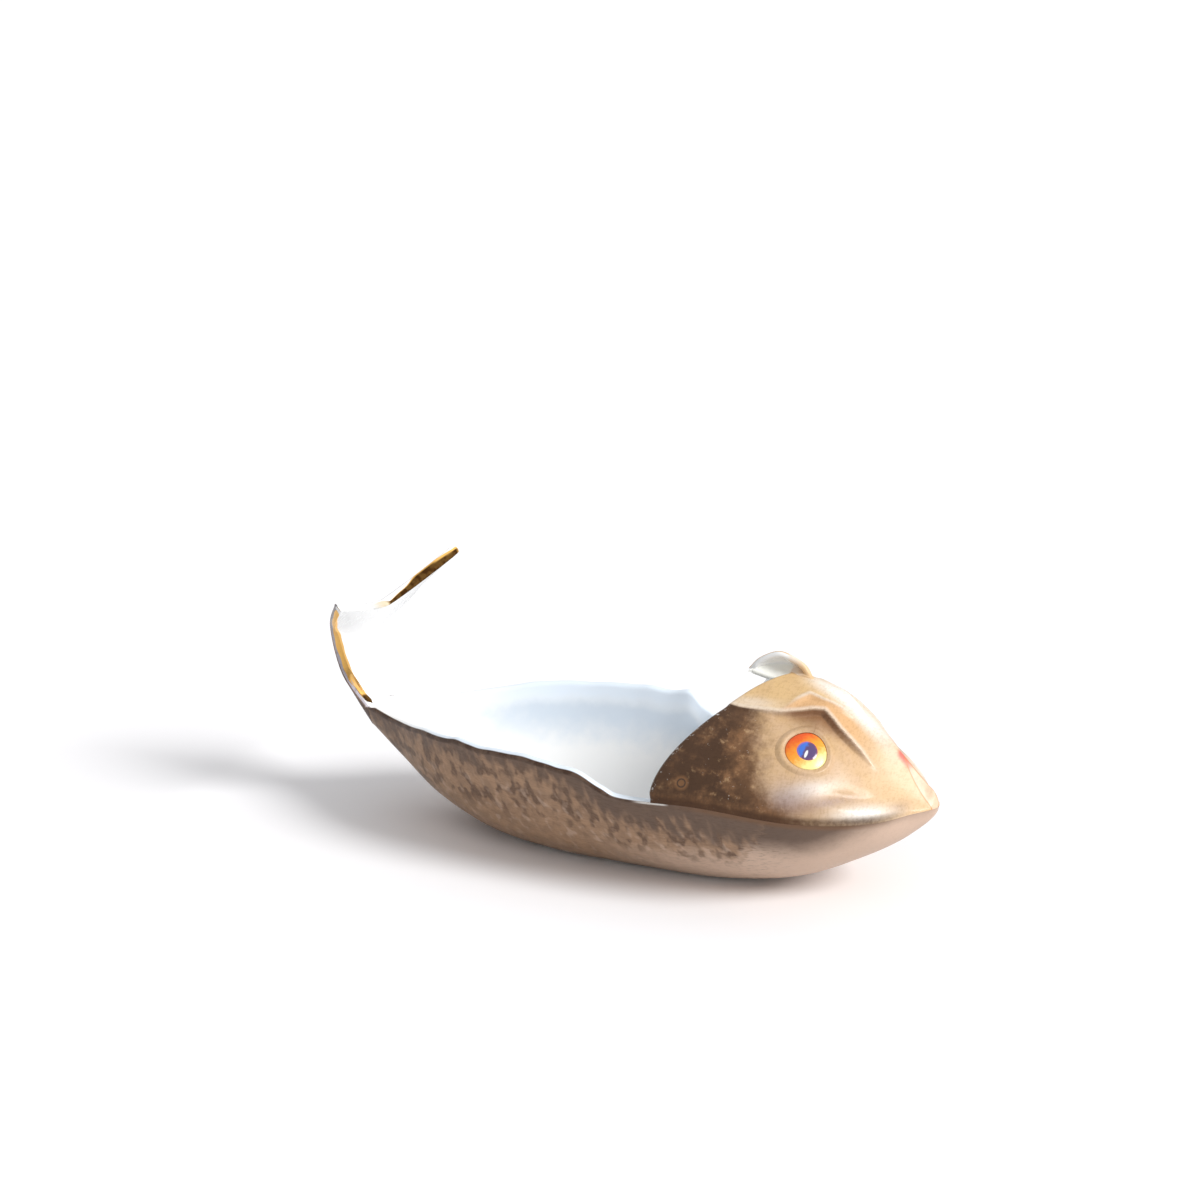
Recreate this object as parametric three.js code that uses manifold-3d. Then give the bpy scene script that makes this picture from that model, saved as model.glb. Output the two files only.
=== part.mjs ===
// A hand-built porcelain salt cellar in the form of a fish: an open dish for a body, a hollow head luted
// on its rim like a hood, a forked tail fin that stands up at the stern with a gilded edge, and a cupped
// lobe that curls back from the crest.
// Millimetres. x runs forward to the snout, y to the fish's left and z up from the table.
// The origin is the middle of the flat place that the dish stands on.
import * as THREE from 'three';
import { mergeVertices } from 'three/addons/utils/BufferGeometryUtils.js';
import Module from 'manifold-3d';

const solids = await Module();
solids.setup();

// Body
const BODY_LENGTH = 126; // root of the tail to snout
const SNOUT_X = 60; // snout ahead of the origin
const BEAM = 54; // greatest breadth over the rim
const RIM_HEIGHT = 21; // rim where the head begins
const SNOUT_DROP = 1.7; // snout below that rim
const TAIL_ROOT_RISE = 1.4; // rim at the root of the tail above that rim
const TAIL_ROOT_DEPTH = 5; // depth of the trough at the root of the tail
const FOOT_CUT = 0.8; // depth of round bottom that the flat foot takes away
const WALL = 2.2; // porcelain of dish and head

// Head
const HEAD_LENGTH = 31; // crest to snout
const CREST_HEIGHT = 42.3; // crest above the table
const HEAD_START = 0.585; // where the head begins along the rim: 0 at the tail, 1 at the snout
const BACK_PITCH = 0.24; // fall of the roof at the back of the head, in parts of its height
const FACE_PITCH = 0.8; // the same at the snout
const NOSE_RIDGE = 1.1; // ridge down the middle of the face
const NOSE_PITCH = 0.6; // how much steeper the roof falls beside that ridge
const BROW_HEIGHT = 0.5; // brow fold above the side of the head
const BROW_HOLLOW = 0.9; // hollow under the fold

// Eyes
const EYE_DIAMETER = 8.4;
const EYE_DOME = 1.1; // eye standing out of the head
const LID_BREADTH = 1.4; // clay ring round the eye
const LID_HEIGHT = 0.9;
const PUPIL_DIAMETER = 4.2;
const PUPIL_HEIGHT = 0.5; // enamel above the eye
const PUPIL_SINK = 0.5; // dimple in the eye

// Tail
const TAIL_SPAN = 49.8; // over the two tips
const TAIL_TIP_HEIGHT = 51.6;
const TAIL_NOTCH_HEIGHT = 45.4;
const TAIL_LEAN = 4.8; // tips forward of the root of the tail
const TAIL_HOLLOW = 4.5; // back of the fin behind the root of the tail
const TAIL_WALL = 2;
const GILT_WALL = 0.35; // gold on the edge of the fin
const GILT_START = 0.12; // where the gold begins: 0 at the root of the fin, 1 at its tips

// Cupped lobe on the crest, from where the crest ends
const CURL_ROOT = 4.6; // its root ahead of there
const CURL_LENGTH = 8.9; // its tip behind
const CURL_RISE = 4.2; // its top above
const CURL_DROP = 1.8; // its lower lip below
const CURL_CUP = 3; // depth of the cup
const CURL_WALL = 1.2;

// Clearances
const SEAM_GAP = 0.3; // between pieces that were luted together
const ENAMEL_GAP = 0.15; // round the enamel in its dimple

const STERN_X = SNOUT_X - BODY_LENGTH;
const SNOUT_Z = RIM_HEIGHT - SNOUT_DROP;
const TAIL_ROOT_Z = RIM_HEIGHT + TAIL_ROOT_RISE;

const white = new THREE.Color('#f3f2ee');
const umber = new THREE.Color('#77685c');
const tan = new THREE.Color('#b08d68');

// A smooth rail through the given points. Its first and last points are handles that only set the end slopes.
// at(u) is the point and slope(u) the derivative, for u from 0 to 1 and a little past either end.
function rail(points) {
  const spans = points.length - 3;
  const weigh = (u, weights) => {
    const index = THREE.MathUtils.clamp(Math.floor(u * spans), 0, spans - 1);
    const w = weights(u * spans - index);
    const sum = new THREE.Vector3();
    w.forEach((weight, k) => sum.addScaledVector(points[index + k], weight));
    return sum;
  };
  const value = (f) => [
    (-f + 2 * f ** 2 - f ** 3) / 2,
    (2 - 5 * f ** 2 + 3 * f ** 3) / 2,
    (f + 4 * f ** 2 - 3 * f ** 3) / 2,
    (-(f ** 2) + f ** 3) / 2,
  ];
  const rate = (f) => [
    (-1 + 4 * f - 3 * f ** 2) / 2,
    (-10 * f + 9 * f ** 2) / 2,
    (1 + 8 * f - 9 * f ** 2) / 2,
    (-2 * f + 3 * f ** 2) / 2,
  ];
  return { at: (u) => weigh(u, value), slope: (u) => weigh(u, rate) };
}

// The unit normal of a surface, by differences; side is 1 or -1.
function normalOf(surface, u, v, side) {
  const step = 1e-3;
  const along = surface(u + step, v).sub(surface(u - step, v));
  const across = surface(u, v + step).sub(surface(u, v - step));
  return along.cross(across).normalize().multiplyScalar(side);
}

// A closed sheet of clay between an outer and an inner surface of the same u and v, both from 0 to 1.
// round(u, v) says how far the free edge there is rounded, 0 to 1, and is 0 where two edges meet.
function sheet(outer, inner, rows, columns, round = () => 0) {
  const steps = 3;
  const grid = [];
  for (let i = 0; i <= rows; i++) {
    for (let j = 0; j <= columns; j++) grid.push([i / rows, j / columns]);
  }
  const outside = grid.map(([u, v]) => outer(u, v));
  const inside = grid.map(([u, v]) => inner(u, v));
  const at = (i, j) => i * (columns + 1) + j;
  const points = [...outside, ...inside];
  const faces = [];
  const quad = (a, b, c, d) => faces.push(a, b, c, a, c, d);
  for (let i = 0; i < rows; i++) {
    for (let j = 0; j < columns; j++) {
      quad(at(i, j), at(i, j + 1), at(i + 1, j + 1), at(i + 1, j));
      const shift = grid.length;
      quad(at(i, j) + shift, at(i + 1, j) + shift, at(i + 1, j + 1) + shift, at(i, j + 1) + shift);
    }
  }

  // The four edges, each a strip from the outer to the inner surface that bulges out where it is rounded.
  const strip = (edge, behind, flip) => {
    const ring = edge.map((k, index) => {
      const from = outside[k];
      const to = inside[k];
      const middle = from.clone().add(to).multiplyScalar(0.5);
      const half = from.clone().sub(to).multiplyScalar(0.5);
      const back = outside[behind[index]].clone().add(inside[behind[index]]).multiplyScalar(0.5);
      const out = middle.clone().sub(back);
      if (half.lengthSq() > 0) out.addScaledVector(half, -out.dot(half) / half.lengthSq());
      out.setLength(half.length() * round(...grid[k]));
      const line = [k];
      for (let s = 1; s < steps; s++) {
        const turn = (Math.PI * s) / steps;
        points.push(
          middle.clone().addScaledVector(half, Math.cos(turn)).addScaledVector(out, Math.sin(turn)),
        );
        line.push(points.length - 1);
      }
      line.push(k + grid.length);
      return line;
    });
    for (let index = 0; index + 1 < ring.length; index++) {
      for (let s = 0; s < steps; s++) {
        const four = [ring[index][s], ring[index + 1][s], ring[index + 1][s + 1], ring[index][s + 1]];
        quad(...(flip ? four.reverse() : four));
      }
    }
  };
  const row = (i) => Array.from({ length: columns + 1 }, (_, j) => at(i, j));
  const column = (j) => Array.from({ length: rows + 1 }, (_, i) => at(i, j));
  strip(row(0), row(1), true);
  strip(row(rows), row(rows - 1), false);
  strip(column(0), column(1), false);
  strip(column(columns), column(columns - 1), true);
  return closed(points, faces);
}

// A geometry of the points and faces, with like points joined, faces without area left out and the rest
// turned outwards.
function closed(points, faces) {
  const raw = new THREE.BufferGeometry().setFromPoints(points);
  raw.setIndex(faces);
  const merged = mergeVertices(raw, 1e-3);
  const old = merged.index.array;
  const kept = [];
  for (let k = 0; k < old.length; k += 3) {
    const [a, b, c] = old.slice(k, k + 3);
    if (a !== b && b !== c && c !== a) kept.push(a, b, c);
  }
  const place = merged.attributes.position;
  const corner = [0, 1, 2].map(() => new THREE.Vector3());
  let volume = 0;
  for (let k = 0; k < kept.length; k += 3) {
    corner.forEach((v, n) => v.fromBufferAttribute(place, kept[k + n]));
    volume += corner[0].dot(corner[1].clone().cross(corner[2]));
  }
  merged.setIndex(volume < 0 ? kept.reverse() : kept);
  merged.computeVertexNormals();
  return merged;
}

// A geometry as a solid for cutting, and back.
function solidOf(geometry) {
  const bare = geometry.clone();
  bare.deleteAttribute('normal');
  bare.deleteAttribute('uv');
  const merged = mergeVertices(bare, 1e-3);
  return new solids.Manifold(
    new solids.Mesh({
      numProp: 3,
      vertProperties: new Float32Array(merged.attributes.position.array),
      triVerts: new Uint32Array(merged.index.array),
    }),
  );
}

function geometryOf(solid) {
  const mesh = solid.getMesh();
  const geometry = new THREE.BufferGeometry();
  geometry.setAttribute('position', new THREE.BufferAttribute(mesh.vertProperties, 3));
  geometry.setIndex(new THREE.BufferAttribute(mesh.triVerts, 1));
  geometry.computeVertexNormals();
  return geometry;
}

// Rails of the dish. Each station gives the place along the body, the half breadth in parts of half the
// beam and the rise of the rim above RIM_HEIGHT, then the place and height of the bottom under it.
const STATIONS = [
  [0, 0.167, TAIL_ROOT_RISE, -0.004, TAIL_ROOT_Z - TAIL_ROOT_DEPTH],
  [0.072, 0.341, 0.043 * RIM_HEIGHT, 0.064, 0.543 * RIM_HEIGHT],
  [0.168, 0.637, 0.11 * RIM_HEIGHT, 0.144, 0.257 * RIM_HEIGHT],
  [0.272, 0.863, 0.176 * RIM_HEIGHT, 0.256, 0.043 * RIM_HEIGHT],
  [0.384, 0.974, 0.186 * RIM_HEIGHT, 0.376, -0.75 * FOOT_CUT],
  [0.472, 1, 0.148 * RIM_HEIGHT, 0.472, -FOOT_CUT],
  [0.544, 1, -0.005 * RIM_HEIGHT, 0.552, -FOOT_CUT],
  [0.68, 0.985, 0.019 * RIM_HEIGHT, 0.672, -0.63 * FOOT_CUT],
  [0.824, 0.878, -0.53 * SNOUT_DROP, 0.792, 0.119 * RIM_HEIGHT],
  [0.92, 0.55, -1.18 * SNOUT_DROP, 0.888, 0.371 * RIM_HEIGHT],
  [0.972, 0.233, -1.06 * SNOUT_DROP, 0.96, 0.629 * RIM_HEIGHT],
  [1, 0, -SNOUT_DROP, 1, SNOUT_Z],
];
const rimPoints = STATIONS.map(
  ([f, b, rise]) => new THREE.Vector3(STERN_X + f * BODY_LENGTH, (b * BEAM) / 2, RIM_HEIGHT + rise),
);
const keelPoints = STATIONS.map(([, , , f, z]) => new THREE.Vector3(STERN_X + f * BODY_LENGTH, 0, z));

// Handles: past the tail the rails run on as they came, and at the snout they turn square across the middle.
function runOn(points) {
  return points[0].clone().multiplyScalar(2).sub(points[1]);
}
const rimTurn = rimPoints.at(-2).clone();
rimTurn.y *= -1;
const keelTurn = keelPoints.at(-2).clone();
keelTurn.z = 2 * SNOUT_Z - keelTurn.z;
const rim = rail([runOn(rimPoints), ...rimPoints, rimTurn]);
const keel = rail([runOn(keelPoints), ...keelPoints, keelTurn]);

// A point of the rim, moved inwards across the plan by the inset.
function rimAt(u, inset) {
  const slope = rim.slope(u).setZ(0).normalize();
  return rim.at(u).add(new THREE.Vector3(slope.y, -slope.x, 0).multiplyScalar(inset));
}

// A point of the keel, moved up into the dish by the inset.
function keelAt(u, inset) {
  const slope = keel.slope(u).normalize();
  return keel.at(u).add(new THREE.Vector3(-slope.z, 0, slope.x).multiplyScalar(inset));
}

// The dish at u along its length and v from its right rim through the keel to its left rim. Its sections are
// fullest behind the middle.
const DISH_FULLNESS = 2.9;
const BILGE = 0.4;
function dishSurface(u, v, inset) {
  const side = Math.sin((v - 0.5) * Math.PI);
  const top = rimAt(u, inset);
  const low = keelAt(u, inset);
  const lift = Math.abs(side) ** (DISH_FULLNESS + BILGE * Math.exp(-(((u - 0.37) / 0.16) ** 2)));
  const lead = Math.abs(side) ** 1.5;
  return new THREE.Vector3(low.x + (top.x - low.x) * lead, top.y * side, low.z + (top.z - low.z) * lift);
}

// Rail of the crest, from the back of the head down the face to the snout: parts of its length and height.
const HOOD_Z = SNOUT_Z + SEAM_GAP;
const FACE = [
  [1, 1],
  [0.82, 0.955],
  [0.627, 0.83],
  [0.44, 0.6],
  [0.273, 0.375],
  [0.113, 0.155],
  [0, 0],
];
const crestPoints = FACE.map(
  ([back, up]) => new THREE.Vector3(SNOUT_X - back * HEAD_LENGTH, 0, HOOD_Z + up * (CREST_HEIGHT - HOOD_Z)),
);
const crestTurn = crestPoints.at(-2).clone();
crestTurn.z = 2 * HOOD_Z - crestTurn.z;
const crest = rail([runOn(crestPoints), ...crestPoints, crestTurn]);

// The head at u from its open back to the snout and v from the right seam over the crest to the left seam.
function headSurface(u, v, inset) {
  const nose = THREE.MathUtils.smoothstep(u, 0.42, 0.65) * (1 - THREE.MathUtils.smoothstep(u, 0.88, 1));
  const seam = rimAt(HEAD_START + (1 - HEAD_START) * u, inset);
  const slope = crest.slope(u).normalize();
  const inward = new THREE.Vector3(slope.z, 0, -slope.x);
  const top = crest.at(u).addScaledVector(inward, inset - NOSE_RIDGE * nose);
  const side = -Math.cos(v * Math.PI);
  const blunt = 0.1 - 0.055 * nose;
  const out = Math.sqrt(side * side + blunt * blunt) - blunt;
  const pitch = THREE.MathUtils.lerp(BACK_PITCH, FACE_PITCH, u) + NOSE_PITCH * nose * (1 - out);
  const rise = (1 - pitch * out) * Math.sin(v * Math.PI);
  const base = seam.z + SEAM_GAP;
  return new THREE.Vector3(
    seam.x + (top.x - seam.x) * (1 - Math.abs(side)),
    seam.y * side,
    base + (top.z - base) * rise,
  );
}

// The brows: a fold on each side that begins behind the eye, peaks over it and runs down the face. The clay
// stands out above the fold and is hollow below it.
const BROW_PEAK = 0.31; // along the head
function browAt(u, v) {
  const begin = THREE.MathUtils.smoothstep(u, 0.05, BROW_PEAK);
  const end = THREE.MathUtils.smoothstep(u, 0.45, 0.65);
  const fold = 0.35 + 0.07 * Math.exp(-(((u - BROW_PEAK) / 0.11) ** 2));
  const above = Math.min(v, 1 - v) - fold;
  const ridge = BROW_HEIGHT * Math.exp(-((above / 0.04) ** 2));
  const hollow = BROW_HOLLOW * Math.exp(-(((above + 0.055) / 0.035) ** 2));
  return begin * (1 - end) * (ridge - hollow);
}

function headOutside(u, v, grown = 0) {
  const point = headSurface(u, v, 0);
  const raised = browAt(u, v) + grown;
  if (raised !== 0) point.addScaledVector(normalOf((a, b) => headSurface(a, b, 0), u, v, 1), raised);
  return point;
}

// Rails of the tail fin from the root of the tail: its edge, up to the tip, and the middle of its back, up
// to the notch.
const tailRoot = rimAt(0, 0);
const tailSill = keelAt(0, 0);
const tipRise = TAIL_TIP_HEIGHT - TAIL_ROOT_Z;
const notchRise = TAIL_NOTCH_HEIGHT - TAIL_ROOT_Z;
const edgePoints = [
  tailRoot,
  new THREE.Vector3(tailRoot.x - 0.71 * TAIL_LEAN, (0.37 * TAIL_SPAN) / 2, TAIL_ROOT_Z + 0.28 * tipRise),
  new THREE.Vector3(tailRoot.x - 0.33 * TAIL_LEAN, (0.67 * TAIL_SPAN) / 2, TAIL_ROOT_Z + 0.72 * tipRise),
  new THREE.Vector3(tailRoot.x + TAIL_LEAN, TAIL_SPAN / 2, TAIL_TIP_HEIGHT),
];
const spinePoints = [
  tailSill,
  new THREE.Vector3(tailRoot.x - TAIL_HOLLOW, 0, TAIL_ROOT_Z + 0.2 * notchRise),
  new THREE.Vector3(tailRoot.x - 0.78 * TAIL_HOLLOW, 0, TAIL_ROOT_Z + 0.61 * notchRise),
  new THREE.Vector3(tailRoot.x + 0.2 * TAIL_LEAN, 0, TAIL_NOTCH_HEIGHT),
];
function runOut(points) {
  return points.at(-1).clone().multiplyScalar(2).sub(points.at(-2));
}
const rootHandle = 1.6 * TAIL_ROOT_DEPTH;
const fromDish = (points, dish) => points[0].clone().addScaledVector(dish.slope(0).normalize(), rootHandle);
const edge = rail([fromDish(edgePoints, rim), ...edgePoints, runOut(edgePoints)]);
const spine = rail([fromDish(spinePoints, keel), ...spinePoints, runOut(spinePoints)]);

// The back of the fin at u from its root to its top and v from its right edge to its left edge. At its
// root it has the dish's section, which opens out above.
const FIN_FULLNESS = 1.3;
function finSurface(u, v) {
  const side = 2 * v - 1;
  const out = edge.at(u);
  const mid = spine.at(u);
  const full = THREE.MathUtils.lerp(DISH_FULLNESS, FIN_FULLNESS, THREE.MathUtils.smoothstep(u, 0, 0.5));
  const lead = Math.abs(side) ** full;
  return new THREE.Vector3(mid.x + (out.x - mid.x) * lead, out.y * side, mid.z + (out.z - mid.z) * lead);
}

// The way through the wall of the fin from its back: as in the dish at the root, square to the fin above.
const ROOT_BLEND = 0.25;
function finThrough(u, v) {
  const around = 0.5 + Math.asin(THREE.MathUtils.clamp(2 * v - 1, -1, 1)) / Math.PI;
  const root = dishSurface(0, around, WALL).sub(dishSurface(0, around, 0));
  const square = normalOf(finSurface, u, v, -1).multiplyScalar(TAIL_WALL);
  return root.lerp(square, THREE.MathUtils.smoothstep(u, 0, ROOT_BLEND));
}

// A point of the fin, through 0 on its back to 1 on its front, where the outline is drawn in by the margin.
const topSpan = spinePoints.at(-1).distanceTo(spinePoints.at(-2)) * (spinePoints.length - 1);
function finAt(u, v, margin, through) {
  const low = u * (1 - margin / topSpan);
  const middle = 0.5 + (v - 0.5) * (1 - margin / edge.at(low).y);
  return finSurface(low, middle).addScaledVector(finThrough(low, middle), through);
}

const group = new THREE.Group();
group.name = 'fish_salt_cellar';
function add(name, geometry, colour, roughness, metalness = 0) {
  const material = new THREE.MeshStandardMaterial({ color: colour, roughness, metalness });
  const mesh = new THREE.Mesh(geometry, material);
  mesh.name = name;
  group.add(mesh);
  return mesh;
}

// Rounding fades out over this much of an edge where it meets the next one.
const FADE = 0.06;
const fade = (s) => THREE.MathUtils.smoothstep(s, 0, FADE) * (1 - THREE.MathUtils.smoothstep(s, 1 - FADE, 1));

// Dish: its free rim is rounded, and flat under the head. A level cut below makes the foot.
function dishHull() {
  const end = HEAD_START - FADE;
  const free = (u, v) => (u > end || (v > 0 && v < 1) ? 0 : 0.7 * fade(u / end));
  const bowl = sheet((u, v) => dishSurface(u, v, 0), (u, v) => dishSurface(u, v, WALL), 44, 22, free);
  const below = new THREE.BoxGeometry(2 * BODY_LENGTH, 2 * BEAM, 2 * RIM_HEIGHT).translate(0, 0, -RIM_HEIGHT);
  return geometryOf(solidOf(bowl).subtract(solidOf(below)));
}

// Head: its rear edge is rounded and its foot flat on the seam.
function headHood() {
  const free = (u, v) => (u > 0 ? 0 : 0.7 * fade(v));
  return sheet((u, v) => headOutside(u, v), (u, v) => headSurface(u, v, WALL), 28, 38, free);
}

// The head grown by the seam gap, also past its rounded rear edge, and filled below. It cuts what is luted
// on the head.
const SEAT_DEPTH = 8;
function headSeat() {
  const along = (u) => u - ((1 - u) * (WALL / 2 + SEAM_GAP)) / HEAD_LENGTH;
  const top = (u, v) => headOutside(along(u), v, SEAM_GAP);
  const below = (u, v) => top(u, v).add(new THREE.Vector3(0, 0, -SEAT_DEPTH));
  return solidOf(sheet(top, below, 28, 32));
}

// Eye pieces are turned about the axis through the middle of the eye, square to the side of the head.
const EYE_PLACE = new THREE.Vector2(0.325, 0.294);
const EYE_SINK = 1.5; // depth of the pieces below the head before they are cut to it
const ROUND = 20;
function eyeFrame(side) {
  const v = side < 0 ? EYE_PLACE.y : 1 - EYE_PLACE.y;
  const centre = headSurface(EYE_PLACE.x, v, 0);
  const out = normalOf((a, b) => headSurface(a, b, 0), EYE_PLACE.x, v, 1);
  return new THREE.Matrix4()
    .makeRotationFromQuaternion(new THREE.Quaternion().setFromUnitVectors(new THREE.Vector3(0, 1, 0), out))
    .setPosition(centre);
}

// A piece of the eye, turned from points of radius and height.
function turned(outline, side) {
  const profile = outline.map(([r, z]) => new THREE.Vector2(r, z));
  return new THREE.LatheGeometry(profile, ROUND).applyMatrix4(eyeFrame(side));
}

// Points of a quarter or half ellipse about a middle, from one angle to another.
function arc([r, z], [wide, high], from, to, steps) {
  return Array.from({ length: steps + 1 }, (_, k) => {
    const turn = THREE.MathUtils.degToRad(from + ((to - from) * k) / steps);
    return [r + wide * Math.cos(turn), z + high * Math.sin(turn)];
  });
}

function eyelid(side, seat) {
  const inner = EYE_DIAMETER / 2 + SEAM_GAP;
  const half = LID_BREADTH / 2;
  const outline = [
    [inner, -EYE_SINK],
    [inner + LID_BREADTH, -EYE_SINK],
    ...arc([inner + half, LID_HEIGHT - half], [half, half], 0, 180, 6),
    [inner, -EYE_SINK],
  ];
  return geometryOf(solidOf(turned(outline, side)).subtract(seat));
}

function eyeball(side, seat) {
  const radius = EYE_DIAMETER / 2;
  const dimple = PUPIL_DIAMETER / 2 + ENAMEL_GAP;
  const rimAngle = THREE.MathUtils.radToDeg(Math.acos(dimple / radius));
  const crown = arc([0, 0], [radius, EYE_DOME], 0, rimAngle, 5);
  const floor = crown.at(-1)[1] - PUPIL_SINK;
  const outline = [[0, -EYE_SINK], [radius, -EYE_SINK], ...crown, [dimple, floor], [0, floor]];
  return geometryOf(solidOf(turned(outline, side)).subtract(seat));
}

function pupil(side) {
  const radius = PUPIL_DIAMETER / 2;
  const shoulder = EYE_DOME * Math.sqrt(1 - ((radius + ENAMEL_GAP) / (EYE_DIAMETER / 2)) ** 2);
  const outline = [
    [0, shoulder - PUPIL_SINK + ENAMEL_GAP],
    [radius, shoulder - PUPIL_SINK + ENAMEL_GAP],
    ...arc([0, shoulder], [radius, PUPIL_HEIGHT], 0, 90, 5),
  ];
  outline[outline.length - 1][0] = 0;
  return turned(outline, side);
}

// Fin: it begins a seam's width behind the dish, and further up its outline leaves room for the gold.
function tailFin() {
  const start = SEAM_GAP / tipRise;
  const grow = (u) => start + (1 - start) * u;
  const margin = (u) => (GILT_WALL + SEAM_GAP) * THREE.MathUtils.smoothstep(u, 0, GILT_START);
  const face = (through) => (u, v) => finAt(grow(u), v, margin(grow(u)), through);
  return sheet(face(0), face(1), 16, 18);
}

// Gilding: a thin band of gold round the fin's edge, up one side, along the forked top and down the other.
function tailGilding() {
  const side = (s) => THREE.MathUtils.clamp(3 * s - 1, 0, 1);
  const climb = (s) => GILT_START + (1 - GILT_START) * Math.min(1, 3 * Math.min(s, 1 - s));
  const band = (margin) => (s, v) => finAt(climb(s), side(s), margin, v);
  return sheet(band(0), band(GILT_WALL), 48, 1);
}

// Curl: a cup of thin clay between two lips that part at its root on the crest and meet again at its tip. The
// upper lip arches back, the lower one hangs behind the head, and the hollow faces the fish's right.
function dorsalCurl(seat) {
  const back = crest.at(0);
  const part = CURL_WALL / 4;
  const sink = 0.5 * CURL_RISE;
  const lip = (places) => {
    const points = places.map(([x, y, z]) => new THREE.Vector3(back.x + x, CURL_CUP * y, back.z + z));
    return rail([runOn(points), ...points, runOut(points)]);
  };
  const upper = lip([
    [CURL_ROOT, 0.15, part - sink],
    [0.5 * CURL_ROOT, 0.15, 0.45 * CURL_RISE],
    [-0.09 * CURL_LENGTH, 0, 0.9 * CURL_RISE],
    [-0.38 * CURL_LENGTH, -0.15, CURL_RISE],
    [-0.76 * CURL_LENGTH, -0.35, 0.62 * CURL_RISE],
    [-CURL_LENGTH, -0.5, part],
  ]);
  const lower = lip([
    [CURL_ROOT, 0.15, -part - sink],
    [0.5 * CURL_ROOT, 0.15, -0.55 * CURL_DROP],
    [-0.11 * CURL_LENGTH, 0.1, -0.9 * CURL_DROP],
    [-0.45 * CURL_LENGTH, -0.15, -CURL_DROP],
    [-0.79 * CURL_LENGTH, -0.4, -0.55 * CURL_DROP],
    [-CURL_LENGTH, -0.5, -part],
  ]);
  const cup = (u, v) => {
    const point = upper.at(u).lerp(lower.at(u), v);
    point.y += CURL_CUP * Math.sin(Math.PI * u) * Math.sin(Math.PI * v);
    return point;
  };
  const inner = (u, v) => cup(u, v).addScaledVector(normalOf(cup, u, v, 1), CURL_WALL);
  const lobe = sheet(cup, inner, 16, 10, (u, v) => (v === 0 || v === 1 ? 0.6 * fade(u) : 0));
  return geometryOf(solidOf(lobe).subtract(seat));
}

const seat = headSeat();
add('dish_hull', dishHull(), umber, 0.3);
add('head_hood', headHood(), tan, 0.28);
add('tail_fin', tailFin(), white, 0.2);
add('tail_gilding', tailGilding(), new THREE.Color('#c9973a'), 0.25, 1);
add('dorsal_curl', dorsalCurl(seat), white, 0.2);
for (const [name, side] of [
  ['right', -1],
  ['left', 1],
]) {
  add('eyelid_' + name, eyelid(side, seat), new THREE.Color('#cdb595'), 0.25);
  add('eyeball_' + name, eyeball(side, seat), new THREE.Color('#ec8a24'), 0.12);
  add('pupil_' + name, pupil(side), new THREE.Color('#3c4aa0'), 0.08);
}

export default group;
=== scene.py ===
"""Glazed and painted surfaces of a porcelain salt cellar in the form of a fish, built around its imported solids."""
import math

import bmesh
import bpy
import numpy as np
from bpy.props import FloatProperty, FloatVectorProperty, PointerProperty
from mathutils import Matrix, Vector


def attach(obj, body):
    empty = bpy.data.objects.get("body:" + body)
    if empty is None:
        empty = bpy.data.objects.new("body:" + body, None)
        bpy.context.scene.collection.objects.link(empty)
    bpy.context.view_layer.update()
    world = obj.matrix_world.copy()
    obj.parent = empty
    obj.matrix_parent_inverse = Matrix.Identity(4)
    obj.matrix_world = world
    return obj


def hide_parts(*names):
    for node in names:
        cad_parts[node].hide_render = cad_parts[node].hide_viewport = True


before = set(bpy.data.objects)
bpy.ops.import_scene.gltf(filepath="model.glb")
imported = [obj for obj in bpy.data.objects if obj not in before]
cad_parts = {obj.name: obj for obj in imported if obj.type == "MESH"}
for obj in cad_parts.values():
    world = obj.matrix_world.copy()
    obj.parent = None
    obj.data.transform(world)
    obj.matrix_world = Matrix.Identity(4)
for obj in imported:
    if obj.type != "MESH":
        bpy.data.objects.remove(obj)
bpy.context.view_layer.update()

bl_info = {
    "name": "Fish Salt Cellar",
    "version": (1, 0, 0),
    "blender": (4, 5, 0),
    "location": "View3D > Sidebar > Salt Cellar",
    "description": "Builds the surfaces of a porcelain salt cellar around its solids",
    "category": "Add Mesh",
}

MM = 0.001

# The solids' sizes in millimetres. x runs forward to the snout, y to the fish's left and z up.
BODY_LENGTH = 126.0
SNOUT_X = 60.0
STERN_X = SNOUT_X - BODY_LENGTH
BEAM = 54.0
RIM_HEIGHT = 21.0
SNOUT_DROP = 1.7
SNOUT_Z = RIM_HEIGHT - SNOUT_DROP
TAIL_ROOT_RISE = 1.4
TAIL_ROOT_Z = RIM_HEIGHT + TAIL_ROOT_RISE
TAIL_ROOT_DEPTH = 5.0
FOOT_CUT = 0.8
WALL = 2.2
SEAM_GAP = 0.3
HEAD_LENGTH = 31.0
CREST_HEIGHT = 42.3
HEAD_START = 0.585
BACK_PITCH = 0.24
FACE_PITCH = 0.8
NOSE_RIDGE = 1.1
NOSE_PITCH = 0.6
HOOD_Z = SNOUT_Z + SEAM_GAP
EYE_PLACE = (0.325, 0.294)
EYE_RADIUS = 4.2
PUPIL_RADIUS = 2.1
LID_BREADTH = 1.4
TAIL_SPAN = 49.8
TAIL_TIP_HEIGHT = 51.6
TAIL_NOTCH_HEIGHT = 45.4
TAIL_LEAN = 4.8
TAIL_HOLLOW = 4.5
TAIL_WALL = 2.0
CURL_ROOT = 4.6
CURL_LENGTH = 8.9
CURL_RISE = 4.2
CURL_DROP = 1.8
CURL_CUP = 3.0
CURL_WALL = 1.2

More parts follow.
